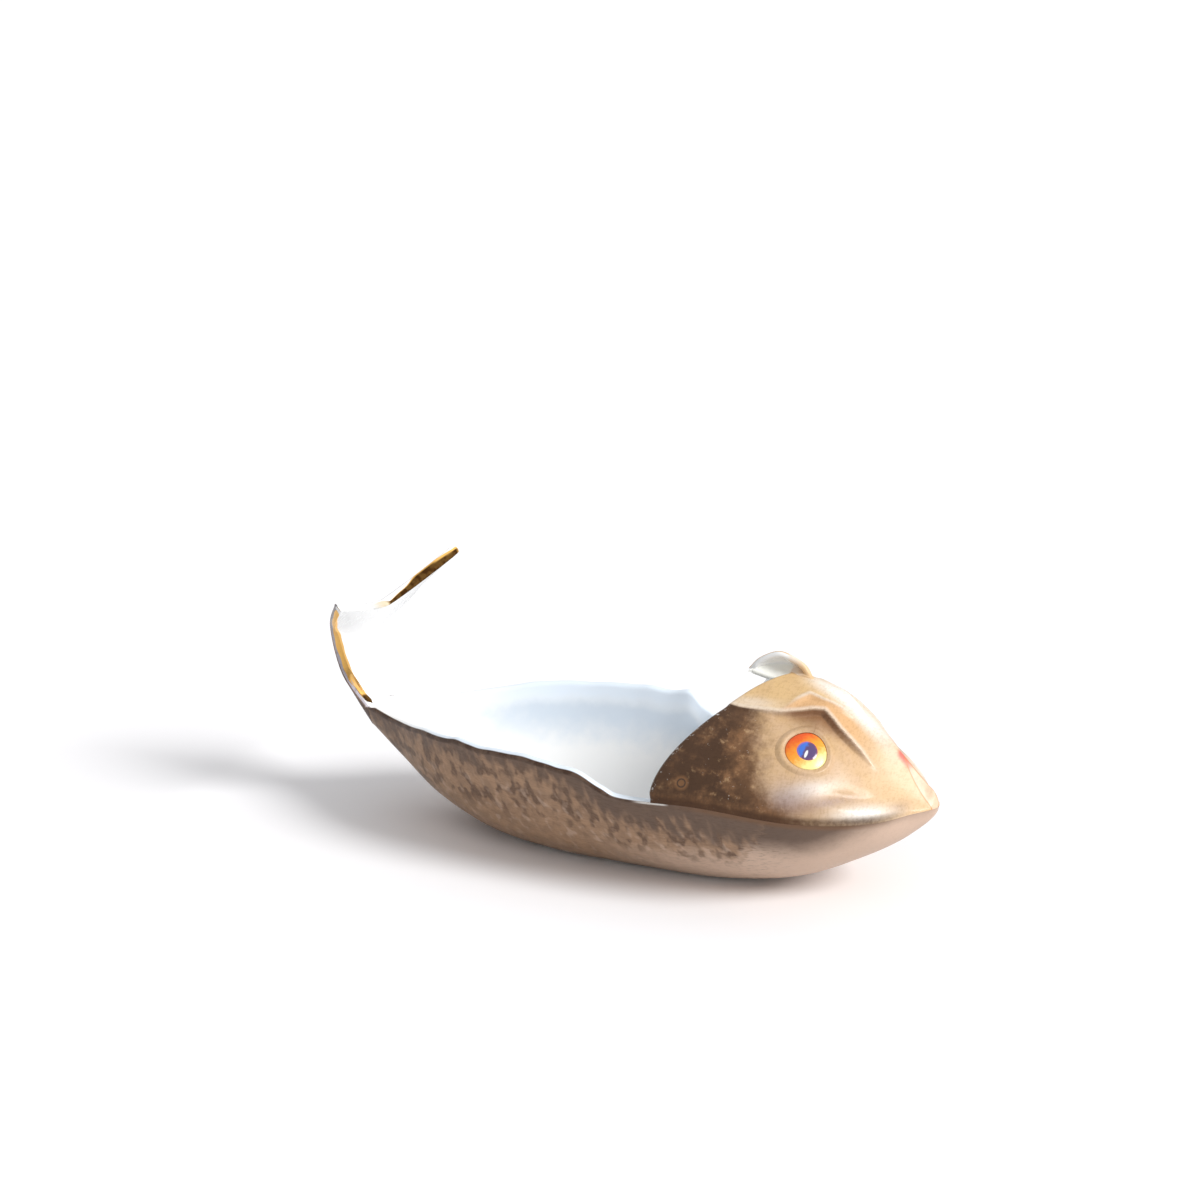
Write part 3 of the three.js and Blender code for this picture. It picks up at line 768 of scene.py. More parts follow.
def emboss(sheet, shader, height, strength, depth):
    """Gives a shader the relief of a height, with its depth in millimetres."""
    bump = sheet.put("ShaderNodeBump")
    bump.inputs["Strength"].default_value = strength
    bump.inputs["Distance"].default_value = depth * MM
    sheet.join(height, bump.inputs["Height"])
    sheet.join(bump.outputs[0], shader.inputs["Normal"])


def fire(sheet, shader, place, colour, gloss, depth=0.02, coat=0.1):
    """Gives a shader its colour and the skin of a fired glaze."""
    sheet.join(colour, shader.inputs["Base Color"])
    skin = sheet.group(shared("glaze"), Place=place, Gloss=gloss)
    sheet.join(skin["Roughness"], shader.inputs["Roughness"])
    emboss(sheet, shader, skin["Height"], GLAZE_RELIEF, depth)
    shader.inputs["IOR"].default_value = GLAZE_IOR
    shader.inputs["Specular IOR Level"].default_value = GLAZE_SHINE
    shader.inputs["Coat Weight"].default_value = coat
    shader.inputs["Coat Roughness"].default_value = COAT_ROUGHNESS


# Settings


def colour(name, about, default):
    return FloatVectorProperty(name=name, description=about, subtype="COLOR", size=3, min=0, max=1, default=default)


def length(name, about, millimetres):
    return FloatProperty(name=name, description=about, unit="LENGTH", subtype="DISTANCE", default=millimetres * MM,
                         precision=5)


class CellarPaint(bpy.types.PropertyGroup):
    """Colours of the glaze, the painting and the gold; some are also laid as painted light and shade."""

    glaze: colour("Glaze", "White glaze of the inside", (0.93, 0.93, 0.92))
    rim_blue: colour("Rim Blue", "Cool tint of the glaze near the rim", (0.81, 0.9, 1.0))
    # Well shade is painted shade: the grey blue on the inner wall of the dish below the rim.
    well_shade: colour("Well Blue", "Grey blue of the glaze further down", (0.46, 0.6, 0.76))
    wash: colour("Wash", "Light brown wash on the outside of the dish", (0.47, 0.29, 0.18))
    band: colour("Band", "Dark grey brown below the rim", (0.17, 0.11, 0.08))
    dab: colour("Dab", "Slanted strokes on the flank", (0.17, 0.1, 0.065))
    throat: colour("Throat", "Pale pink tan of the throat and chin", (0.72, 0.52, 0.4))
    tan: colour("Tan", "Ground of the head", (0.62, 0.41, 0.22))
    snout: colour("Snout", "Pale yellow tan of the snout", (0.8, 0.55, 0.31))
    cheek: colour("Cheek", "Dark brown of the back of the cheek", (0.047, 0.017, 0.006))
    umber: colour("Umber", "Lighter brown sponged on the cheek", (0.24, 0.115, 0.05))
    shade: colour("Shade", "Brown under the brow", (0.21, 0.09, 0.038))
    brow: colour("Brow", "Orange tan of the brow", (0.71, 0.42, 0.2))
    crest: colour("Crest", "Yellow tan of the crest", (0.74, 0.5, 0.24))
    # Pale is also laid as painted highlights on the forehead, ridge, brow lip, cheek and jowl.
    pale: colour("Pale", "Thin places where the white porcelain shows", (0.93, 0.89, 0.84))
    violet: colour("Violet", "Grey violet shadow of the cheek", (0.4, 0.3, 0.28))
    line: colour("Line", "Orange lines of the mouth", (0.62, 0.25, 0.08))
    red: colour("Red", "Red in the mouth", (0.72, 0.1, 0.09))
    ink: colour("Ink", "Dark outlines", (0.05, 0.03, 0.02))
    fin: colour("Fin", "Grey brown of the back of the fin", (0.16, 0.12, 0.11))
    fin_white: colour("Fin White", "White glaze of the front of the fin", (0.98, 0.98, 0.98))
    lilac: colour("Lilac", "Lilac grey of the ungilded edge of the fin", (0.47, 0.44, 0.49))
    gold: colour("Gold", "Bright gold", (0.98, 0.57, 0.16))
    # Brown gold, laid mostly as the painted dark reflection on the gold and in a few blots.
    brown_gold_and_reflection: colour("Old Gold", "Thick brown gold", (0.05, 0.02, 0.005))
    cream: colour("Cream", "Worn gold", (0.95, 0.84, 0.62))
    iris_red: colour("Iris Red", "Upper part of the iris", (0.78, 0.1, 0.02))
    iris_orange: colour("Iris Orange", "Middle of the iris", (0.95, 0.36, 0.04))
    iris_yellow: colour("Iris Yellow", "Lower part of the iris", (0.97, 0.86, 0.34))
    pupil: colour("Pupil", "Purple of the pupil", (0.09, 0.05, 0.16))
    pupil_blue: colour("Pupil Blue", "Blue of the pupil", (0.04, 0.16, 0.66))
    cup: colour("Cup", "Grey green in the hollow of the lobe", (0.93, 0.93, 0.86))


class CellarSizes(bpy.types.PropertyGroup):
    """Sizes of the finish and the stage."""

    gold_wrap: length("Gold Wrap", "Breadth of the gold on the face of the fin", 1.3)
    gold_film: length("Gold Film", "Thickness of the gold", 0.1)
    stroke_breadth: length("Stroke Breadth", "Distance of the strokes along the dish", 1.95)
    stroke_length: length("Stroke Length", "Length of the strokes", 6.0)
    mouth_line: length("Mouth Line", "Breadth of the lines of the mouth", 0.22)
    floor_side: length("Floor", "Side of the floor", 6000)


# Pieces


GRAIN_TINT = (0.72, 0.68, 0.64)
WEAVE_TINT = (0.8, 0.76, 0.7)
STROKE_SLANT = 0.1


def painted_dish(paint, sizes):
    material, s, shader = new_finish("painted dish")
    place = s.place()
    along, down, depth = s.marks("skin")
    _, y, z = s.apart(place)
    wander = s.wander(place, 0.25, 1.0)
    mottle = s.blot(place, 0.35, 0.5, 0.16)
    fine = s.blot(place, 1.6, 0.5, 0.18)
    grain = s.group(shared("grain"), Place=place, Scale=2.4)[0]
    hand = s.times(s.math("SIGN", y), 7.0)

    def strokes(share, seed):
        """Strokes of a share of the full length."""
        return s.group(shared("stroke"), Along=along, Down=down, Breadth=sizes.stroke_breadth / MM,
                       Length=share * sizes.stroke_length / MM, Slant=STROKE_SLANT,
                       Seed=s.math("ADD", hand, seed))[0]

    def below_rim(reach, low, high):
        """A mask by the distance below the rim, with an edge that wanders."""
        return s.ramp(s.line(wander, reach, down), low, high)

    side = Painting(s, paint, "wash")
    side.lay("band", mottle, 0.35)
    side.lay("throat", below_rim(2.0, 10.0, 17.0), s.ramp(along, 55.0, 88.0), 0.95)
    dabs = s.times(s.ramp(strokes(0.55, 3.3), 0.45, 0.62), below_rim(2.0, 19.0, 11.0))
    side.lay("dab", dabs, s.span(fine, 0.75, 0.95))
    lights = s.times(s.ramp(strokes(0.5, 9.1), 0.52, 0.7), s.stretch(down, 5.0, 9.0, 18.0, 26.0))
    side.lay("throat", lights, s.ramp(along, 20.0, 80.0, 0.3, 0.55))

    # The throat, smooth ahead of a feathered gill line.
    feather = s.wander(s.put("ShaderNodeCombineXYZ", s.times(down, 1.2), 0.0, hand).outputs[0], 1.0, 1.6)
    past = s.math("SUBTRACT", along, s.math("ADD", s.line(down, -0.55, 100.5), feather))
    lower = s.math("ADD", s.line(wander, 0.7, down), s.ramp(along, 104.0, 122.0, 0.0, 9.0))
    throat = Painting(s, paint, "band")
    throat.lay("throat", s.ramp(lower, 4.0, 12.0))
    throat.lay("band", s.ramp(grain, 0.5, 0.75), s.ramp(past, 12.0, 2.0), 0.5)
    side.cover(throat.colour, s.ramp(past, -0.4, 0.5))
    side.lay("throat", s.near(past, -0.9, 1.5), s.ramp(down, 7.0, 10.0), 0.6)

    # The dark band, whose lower edge runs out in strokes.
    reach = s.times(s.line(strokes(1.0, 0.0), 16.0, -7.5), s.ramp(past, 2.0, -4.0, 0.12, 1.0))
    reach = s.math("ADD", reach, s.ramp(along, 30.0, 90.0, -3.0, 2.5))
    band = s.ramp(s.math("SUBTRACT", down, reach), 7.5, 1.5)
    side.lay("band", band, s.ramp(past, 4.0, -2.0), 0.93)
    side.lay("band", s.ramp(along, 20.0, 3.0), 0.2)
    side.cover(rgba(GRAIN_TINT), s.ramp(grain, 0.45, 0.7), s.ramp(past, 6.0, -2.0, 0.2, 0.6), blend="MULTIPLY")

    # Brown under the seam of the head, pale specks, the bare and the dark part of the rim, and the worn foot.
    side.lay("umber", s.ramp(down, 1.9, 0.4), s.stretch(along, 78.0, 90.0, 112.0, 124.0), 0.6)
    side.lay("pale", s.blot(place, 2.2, 0.27, 0.03), s.ramp(down, 6.0, 11.0), 0.55)
    side.lay("pale", s.ramp(down, 0.6, 0.3), s.stretch(along, 72.0, 75.0, 79.0, 80.5), 0.8)
    side.lay("cheek", s.ramp(down, 0.7, 0.2), s.ramp(along, 73.0, 71.0), s.span(mottle, 0.35, 0.85))
    side.lay("pale", s.ramp(s.line(wander, 0.6, z), 1.7, 0.8), s.ramp(fine, 0.3, 0.6), 0.8)

    inside = Painting(s, paint, "glaze")
    # Painted shade on the inner wall: grey blue in a band below the rim, fading out towards the stern; then the cool
    # tint of the glaze at the rim.
    inside.lay("well_shade", below_rim(0.6, 0.8, 5.0), below_rim(1.5, 16.0, 6.0),
               s.ramp(s.line(wander, 4.0, along), 6.0, 30.0), 0.55)
    inside.lay("rim_blue", below_rim(0.6, 5.0, 1.0), s.ramp(along, 6.0, 30.0), 0.9)
    side.cover(inside.colour, s.ramp(depth, 0.1, 0.2))
    side.lay("cheek", s.near(depth, 0.1, 0.08), s.ramp(s.line(y, -2.0, along), 0.0, 20.0), s.span(mottle, 0.5, 0.95))
    fire(s, shader, place, side.colour, 0.34)
    return material


DISH_GRID = (221, 121)
RIM_ROUND = 0.75
SEAM_LEAD = 0.04  # the rounded rim ends this far before the head starts


class CELLAR_OT_dish(bpy.types.Operator):
    """Makes the open dish with its painted outside, white inside and wavy rim"""

    bl_idname = "cellar.dish"
    bl_label = "Dish"

    def execute(self, context):
        u, v = grid_of(DISH_GRID)
        free = HEAD_START - SEAM_LEAD

        def rounded(a, b):
            return np.where((b == 0) | (b == 1), RIM_ROUND * fade_ends(a / free) * (a < free), 0.0)

        points, faces, place, depth = shell(dish_point, u, v, rounded)
        outside = dish_point(u, v, np.zeros_like(u))
        down = down_from_rim(outside).ravel()[place]
        along = outside[..., 0].ravel()[place] - STERN_X
        material = painted_dish(context.scene.cellar_paint, context.scene.cellar_sizes)
        dish = make_object("dish", points, faces, material, dict(skin=np.stack([along, down, depth], -1)))
        stand_for(dish, "dish_hull")
        return {"FINISHED"}


# Soft touches on cheek and jowl: pale paint that is partly painted highlight under the eye and on the jowl, violet
# and brown painted shade in the grooves beside them, and a brown patch. Columns: paint, middle, half length and
# breadth, tilt, and strength off and on the mottle.
TOUCHES = [
    ("pale", (31.0, 14.8), (6.0, 1.8), 0.2, 0.6, 0.6),
    ("violet", (26.5, 12.6), (6.0, 3.4), 0.15, 0.85, 0.85),
    ("violet", (35.5, 12.3), (6.0, 1.1), 0.1, 0.55, 0.7),
    ("shade", (30.0, 11.0), (4.5, 1.5), 0.0, 0.35, 0.35),
    ("shade", (51.0, 10.9), (2.6, 1.2), 0.3, 0.35, 0.5),
    ("pale", (43.0, 9.9), (6.6, 1.6), 0.04, 0.95, 0.95),
]


def painted_head(paint, sizes):
    material, s, shader = new_finish("painted head")
    place = s.place()
    ahead, rise = s.group(shared("side"), Place=place)
    brow, along, ridge = s.marks("fold")
    rear, up, left = s.marks("edges")
    fall, across, depth = s.marks("mouth")
    off = s.math("ABSOLUTE", across)
    wander = s.wander(place, 0.3, 1.0)
    wide = s.blot(place, 0.25, 0.5, 0.2)
    fine = s.blot(place, 1.1, 0.5, 0.16)
    weave = s.group(shared("weave"), Place=place, Scale=3.2)[0]
    above, below = s.ramp(brow, 0.0, 0.5), s.ramp(brow, 0.2, -0.2)

    def swayed(value, reach, low, high):
        """A mask whose edge wanders."""
        return s.ramp(s.line(wander, reach, value), low, high)

    # Crest and brow, then pale paint laid as painted highlights on the forehead, the ridge, the brow lip and the back
    # of the crest.
    skin = Painting(s, paint, "tan")
    skin.lay("throat", wide, 0.3)
    skin.lay("snout", swayed(ahead, 2.0, 36.0, 54.0), 0.8)
    skin.lay("crest", above, s.ramp(ridge, 0.5, -0.6), s.ramp(ahead, 46.0, 36.0), s.span(wide, 0.6, 0.95))
    skin.lay("brow", above, s.ramp(ridge, -0.1, 0.7), s.ramp(ahead, 47.0, 40.0), 0.85)
    # Painted highlights: a line along the ridge, a broad one on the forehead by the crest, wider on the left side, a
    # line on the brow lip and a streak at the back of the crest.
    skin.lay("pale", above, s.near(ridge, -0.1, 0.7), s.stretch(ahead, 27.0, 31.0, 39.0, 43.0), 0.4)
    forehead_highlight = s.ramp(s.times(off, s.ramp(left, -0.5, 0.5, 1.0, 0.4)), 3.9, 0.4)
    skin.lay("pale", forehead_highlight, s.ramp(ahead, 28.0, 39.0), s.ramp(fall, 0.4, -0.5), 0.95)
    skin.lay("pale", s.near(brow, 0.35, 1.0), s.ramp(ahead, 48.0, 42.0), 0.36)
    skin.lay("pale", above, s.spot(ahead, rise, (19.5, 32.4), (6.0, 1.1), -0.12), 0.4)

    # Shadow painted under the brow, then the touches on cheek and jowl: pale paint that is partly painted highlight,
    # and painted shade in the grooves.
    fades = s.math("EXPONENT", s.math("DIVIDE", brow, s.line(s.near(along, 0.58, 0.28), 8.0, 0.5)))
    fades = s.times(below, s.math("MINIMUM", fades, 1.0))
    skin.lay("shade", fades, s.stretch(along, 0.2, 0.38, 0.8, 1.0), 0.95)
    for name, middle, half, tilt, low, high in TOUCHES:
        skin.lay(name, s.spot(ahead, rise, middle, half, tilt), s.span(fine, low, high))

    # The dark cheek, sponged, with a soft front and a brown foot along the seam.
    front = s.line(s.math("MAXIMUM", s.math("SUBTRACT", 15.0, rise), 0.0), -1.2, s.line(wander, 1.5, ahead))
    front = s.math("ADD", front, s.wander(place, 1.4, 0.8))
    dark = s.times(s.ramp(front, 25.0, 17.5), below)
    brown = Painting(s, paint, "cheek")
    brown.lay("umber", s.blot(place, 0.3, 0.46, 0.12), s.span(fine, 0.4, 0.9))
    brown.lay("umber", s.ramp(front, 12.0, 20.0), 0.45)
    brown.lay("tan", s.blot(place, 0.6, 0.35, 0.07), 0.42)
    brown.lay("cheek", swayed(rear, 2.0, 9.0, 3.0), 0.55)
    brown.lay("pale", s.blot(place, 1.5, 0.3, 0.03), 0.45)
    skin.cover(brown.colour, dark, 0.96)
    skin.lay("umber", swayed(up, 0.7, 3.2, 0.5), swayed(ahead, 3.0, 38.0, 24.0), s.span(fine, 0.3, 0.7))
    skin.lay("cheek", s.ramp(up, 1.9, 0.7), s.ramp(ahead, 56.0, 44.0), s.span(fine, 0.66, 0.78))
    skin.cover(rgba(WEAVE_TINT), s.ramp(weave, 0.46, 0.62), 0.55, blend="MULTIPLY")
    skin.lay("shade", s.blot(place, 2.6, 0.25, 0.03), 0.35)

    # The mouth: two lines that part downwards and one between them, with red at their top.
    outer = s.ramp(depth, 0.1, 0.05)
    in_mouth = s.times(s.ramp(fall, MOUTH_START, MOUTH_START + 0.03), outer)
    run = s.math("MAXIMUM", s.math("SUBTRACT", fall, MOUTH_START), 0.0)
    open_to = s.times(s.line(s.math("EXPONENT", s.times(run, -5.0)), -1.0, 1.0), MOUTH_OPEN)
    beyond = s.math("SUBTRACT", off, open_to)
    breadth = sizes.mouth_line / MM
    skin.lay("glaze", in_mouth, s.ramp(beyond, 0.2, -0.2), 0.2)
    skin.lay("red", s.stretch(fall, 0.12, 0.2, 0.3, 0.5), outer, s.ramp(off, 1.6, 0.6), 0.8)
    lines = s.math("MAXIMUM", s.near(beyond, 0.0, breadth), s.near(off, 0.0, breadth))
    skin.lay("line", lines, in_mouth, 0.85)

    # The ring mark on the cheek, the worn back edge and the white inside.
    ring_off = s.mark("ring_off").outputs["Fac"]
    skin.lay("umber", s.ramp(ring_off, 1.8, 1.0), 0.75)
    skin.lay("ink", s.near(ring_off, 0.8, 0.28), 0.95)
    chips = s.times(s.ramp(rear, 0.5, 0.2), s.ramp(depth, 0.3, 0.2), s.blot(place, 1.4, 0.38, 0.08))
    skin.lay("pale", chips, dark, 0.5)
    skin.lay("pale", s.near(depth, 0.3, 0.25), 0.6)
    skin.lay("glaze", s.ramp(depth, 0.35, 0.6))
    fire(s, shader, place, skin.colour, 0.34)
    return material


HEAD_FINISH = {}


def head_finish(scene):
    """The painted head's material, shared with the eyelids."""
    if "made" not in HEAD_FINISH:
        HEAD_FINISH["made"] = painted_head(scene.cellar_paint, scene.cellar_sizes)
    return HEAD_FINISH["made"]


RING_MARK = (0.078, 0.09)
OUT_OF_REACH = 99.0  # the ring mark is on the right cheek alone


def head_painting(u, v, depth):
    """The marks that the head's painting follows, for points of the head."""
    m = head_marks(u, v)
    w = m["w"]
    rear = np.linalg.norm(m["at"] - head_base(0 * u, w), axis=-1)
    up = np.linalg.norm(m["at"] - head_base(u, 0 * w), axis=-1)
    ring_off = np.linalg.norm(m["at"] - head_base(*np.array(RING_MARK)), axis=-1) + OUT_OF_REACH * (v > 0.5)
    return dict(
        fold=np.stack([m["brow"], m["along"], m["ridge"]], -1),
        edges=np.stack([rear, up, np.sign(v - 0.5)], -1),
        mouth=np.stack([m["fall"], m["across"], depth], -1),
        ring_off=ring_off,
    )


HEAD_GRID = (171, 241)
SNOUT_STOP = 0.998  # the relief has no slope to follow at the very tip
CHEEK_TRIM = 0.014


def trimmed_back(u, v):
    """Places along the head, moved forward where the back of the cheek was cut before firing."""
    return u + CHEEK_TRIM * (1 - smooth(np.minimum(v, 1 - v), 0.33, 0.45)) * (1 - u) ** 6


class CELLAR_OT_head(bpy.types.Operator):
    """Makes the hollow head with its brows, jowls and mouth"""

    bl_idname = "cellar.head"
    bl_label = "Head"

    def execute(self, context):
        u, v = grid_of(HEAD_GRID)
        trimmed = trimmed_back(u, v)
        outside = head_outside(np.minimum(trimmed, SNOUT_STOP), v)

        def point(a, b, t):
            return head_point(trimmed, b, t) if t.any() else outside

        def rounded(a, b):
            return np.where(a == 0, RIM_ROUND * fade_ends(b), 0.0)

        points, faces, place, depth = shell(point, u, v, rounded)
        marks = head_painting(trimmed.ravel(), v.ravel(), np.zeros(u.size))
        marks["edges"][:, 0] = np.linalg.norm(outside - outside[:1], axis=-1).ravel()
        marks = {key: values[place] for key, values in marks.items()}
        marks["mouth"][:, 2] = depth
        head = make_object("head", points, faces, head_finish(context.scene), marks)
        stand_for(head, "head_hood")
        return {"FINISHED"}


def eye_place(side, radius, angle):
    """Places (u, v) on the head at a radius and angle about the middle of an eye."""
    u0, v0 = np.array(EYE_PLACE)
    du = (head_base(u0 + STEP, v0) - head_base(u0 - STEP, v0)) / (2 * STEP)
    dv = (head_base(u0, v0 + STEP) - head_base(u0, v0 - STEP)) / (2 * STEP)
    ahead = unit(du)
    up = unit(dv - ahead * (dv @ ahead))
    turn = np.linalg.inv(np.array([[du @ ahead, dv @ ahead], [du @ up, dv @ up]]))
    a, b = radius * np.cos(angle), radius * np.sin(angle)
    u = u0 + turn[0, 0] * a + turn[0, 1] * b
    v = v0 + turn[1, 0] * a + turn[1, 1] * b
    return u, (v if side < 0 else 1 - v)


def ring_mesh(profile, side, around):
    """A ring or disc on the head round an eye from (radius, height) pairs: points, faces, the points' places u and v
    on the head, and their radius, cosine and sine about the eye."""
    angle = np.linspace(0, 2 * np.pi, around, endpoint=False)
    radius, height = np.array(profile).T
    r, a = np.meshgrid(radius, angle, indexing="ij")
    u, v = eye_place(side, r, a)
    middle = np.array([EYE_PLACE[0]]), np.array([EYE_PLACE[1] if side < 0 else 1 - EYE_PLACE[1]])
    axis = normal_of(head_base, *middle)[0]
    points = head_outside(u, v) + axis * height[:, None, None]
    grid = np.arange(r.size).reshape(r.shape)
    nxt = np.roll(grid, -1, axis=1)
    faces = np.stack([grid[:-1], nxt[:-1], nxt[1:], grid[1:]], -1).reshape(-1, 4)
    ring = np.stack([r, np.cos(a), np.sin(a)], -1).reshape(-1, 3)
    return points.reshape(-1, 3), faces, (u.ravel(), v.ravel()), ring


EYE_SEAT = 0.05
IRIS_RISE = 0.55
IRIS_SINK = 0.6
IRIS_TOP = EYE_SEAT + IRIS_RISE
PUPIL_SPREAD = 1.07 * PUPIL_RADIUS
PUPIL_RISE = 0.3
PIN = 1e-4  # radius of the hole in the middle of a disc, in millimetres
RING_POINTS = 96
PUPIL_POINTS = 64


def dome(radius, low, rise, power, foot):
    """A dome on a flat foot as (radius, height) pairs."""
    curve = [(radius * (1 - k) + PIN, low + rise * (1 - (1 - k) ** 2) ** power) for k in np.linspace(0, 1, 24)]
    return [(PIN, foot), (radius, foot), *curve]


def lid_ring():
    """The soft ring of clay round an eye as (radius, height) pairs, closed inside the head."""
    inner, outer = EYE_RADIUS - 0.05, EYE_RADIUS + LID_BREADTH + 0.6
    k = np.linspace(0, 1, 19)
    height = -0.1 + 0.55 * smooth(k, 0, 0.65) - 0.2 * smooth(k, 0.65, 1)
    hidden = [(inner + 0.05, -0.4), (inner + 0.4, -0.8), (outer - 0.4, -0.8), (outer, -0.3)]
    return [*zip(outer - (outer - inner) * k, height), *hidden]


class CELLAR_OT_eyes(bpy.types.Operator):
    """Makes the eyes: clay lids, domed irises and enamel pupils"""

    bl_idname = "cellar.eyes"
    bl_label = "Eyes"

    def execute(self, context):
        paint = context.scene.cellar_paint
        iris = dome(EYE_RADIUS, EYE_SEAT, IRIS_RISE, 0.7, -IRIS_SINK)
        pupil = dome(PUPIL_SPREAD, IRIS_TOP - 0.2, PUPIL_RISE, 0.6, IRIS_TOP - 0.5)
        domes = (
            ("iris_", "eyeball_", iris, RING_POINTS, painted_iris(paint), "eye_glaze"),
            ("enamel_", "pupil_", pupil, PUPIL_POINTS, painted_pupil(paint), "pupil_enamel"),
        )
        for name, side in (("right", -1), ("left", 1)):
            points, faces, places, _ = ring_mesh(lid_ring(), side, RING_POINTS)
            marks = head_painting(*places, np.zeros(len(points)))
            lid = make_object("eyelid_" + name + "_ring", points, faces, head_finish(context.scene), marks)
            stand_for(lid, "eyelid_" + name)
            for piece, node, profile, around, finish, slot in domes:
                points, faces, _, ring = ring_mesh(profile, side, around)
                stand_for(make_object(piece + name, points, faces, finish, dict(ring=ring)), node + name)
        return {"FINISHED"}


def painted_iris(paint):
    material, s, shader = new_finish("painted iris")
    place = s.place()
    radius, ahead, up = s.marks("ring")
    lean = s.math("ADD", s.times(ahead, 0.74), s.times(up, -0.55))
    lean = s.line(lean, s.math("DIVIDE", radius, EYE_RADIUS), -0.3)
    lean = s.line(s.noise(place, 1.4, 3.0), 0.6, lean)
    skin = Painting(s, paint, "iris_red")
    skin.lay("iris_orange", s.ramp(lean, -0.85, 0.0))
    skin.lay("iris_yellow", s.ramp(lean, -0.05, 0.7))
    skin.lay("shade", s.ramp(s.wander(place, 1.6, 0.08), -0.1, 0.1, 0.5, 1.0),
             s.ramp(radius, EYE_RADIUS - 0.34, EYE_RADIUS - 0.12), 0.8)
    fire(s, shader, place, skin.colour, 0.2)
    return material


def painted_pupil(paint):
    material, s, shader = new_finish("enamel pupil")
    place = s.place()
    radius, ahead, up = s.marks("ring")
    x, y = s.times(radius, ahead), s.times(radius, up)
    behind = s.math("ADD", s.math("SUBTRACT", s.times(y, 0.15), x), s.wander(place, 1.1, 0.35))
    skin = Painting(s, paint, "pupil")
    skin.lay("pupil_blue", s.ramp(behind, 0.3, 0.8))
    skin.lay("iris_red", s.ramp(radius, 1.6, 2.0), s.ramp(s.noise(place, 1.2, 2.0), 0.4, 0.6, 0.1, 0.4))
    # Painted highlight: a white streak low in the middle of the pupil, standing for the lamp's reflection.
    skin.lay("glaze", s.ramp(s.spot(x, y, (-0.05, -0.8), (0.3, 0.95)), 0.3, 0.6), 0.9)
    fire(s, shader, place, skin.colour, 0.12, coat=0.8)
    return material


def painted_fin(paint):
    material, s, shader = new_finish("painted fin")
    place = s.place()
    rise, side, depth = s.marks("skin")
    mottle = s.blot(place, 0.4)
    grain = s.group(shared("grain"), Place=place, Scale=2.2)[0]
    rays = s.group(shared("stroke"), Along=s.times(side, 50.0), Down=s.times(rise, 30.0), Breadth=1.7, Length=13.0,
                   Slant=0.0, Seed=5.0)[0]
    top, inward = s.ramp(rise, 0.985, 0.995), s.ramp(side, 0.005, 0.02)
    right = s.ramp(side, 0.03, 0.02)

    skin = Painting(s, paint, "fin")
    skin.lay("band", mottle, 0.5)
    skin.lay("wash", s.ramp(grain, 0.4, 0.8), 0.35)
    skin.lay("wash", s.ramp(rays, 0.46, 0.64), s.ramp(rise, 0.05, 0.35), 0.55)
    skin.lay("dab", s.ramp(rays, 0.48, 0.36), s.ramp(rise, 0.1, 0.4), 0.5)
    skin.lay("lilac", s.ramp(rise, 0.86, 1.0), s.span(mottle, 0.2, 0.5))

    # The edge, lilac where it has no gold and white near the root and along the top.
    lip = Painting(s, paint, "lilac")
    lip.lay("band", s.blot(place, 0.7, 0.4, 0.1), 0.45)
    lip.lay("glaze", top, inward, 0.95)
    lip.lay("fin", s.ramp(rise, 0.6, 0.75), right, s.ramp(depth, 0.5, 0.35), 0.6)
    lip.lay("glaze", s.ramp(rise, 0.965, 0.975), right, s.ramp(depth, 0.25, 0.35))
    lip.lay("glaze", s.ramp(rise, 0.2, 0.1), s.ramp(depth, 0.3, 0.5))
    skin.cover(lip.colour, s.ramp(depth, 0.1, 0.18))

    # The white front, and gold on the fin itself under the gilded edge.
    skin.lay("fin_white", s.ramp(depth, 0.7, 0.9))
    skin.lay("glaze", s.ramp(rise, 0.03, 0.01), s.ramp(depth, 0.2, 0.3))
    skin.lay("glaze", s.ramp(rise, 0.25, 0.15), s.ramp(side, 0.9, 0.99), s.ramp(depth, 0.005, 0.03))
    skin.lay("glaze", top, inward, s.ramp(depth, 0.0, 0.05), 0.9)
    gilded = s.times(s.ramp(side, 0.056, 0.044), s.ramp(depth, 0.5, 0.58))
    skin.lay("gold", gilded, s.stretch(rise, 0.07, 0.12, 0.4, 0.5), 0.95)
    fire(s, shader, place, skin.colour, 0.24, depth=0.004)
    return material


FIN_GRID = (97, 97)
FIN_MARGIN = 0.3
FIN_ROUND = 0.25
GOLD_START = 0.05


class CELLAR_OT_tail(bpy.types.Operator):
    """Makes the forked fin, white in front and painted behind"""

    bl_idname = "cellar.tail"
    bl_label = "Tail Fin"

    def execute(self, context):
        u, v = grid_of(FIN_GRID)

        def point(a, b, t):
            return fin_point(a, b, FIN_MARGIN * smooth(a, 0, GOLD_START), t)

        points, faces, place, depth = shell(point, u, v, lambda a, b: FIN_ROUND * smooth(a, 0.02, 0.2))
        skin = np.stack([u.ravel()[place], v.ravel()[place], depth], -1)
        fin = make_object("fin", points, faces, painted_fin(context.scene.cellar_paint), dict(skin=skin))
        stand_for(fin, "tail_fin")
        return {"FINISHED"}


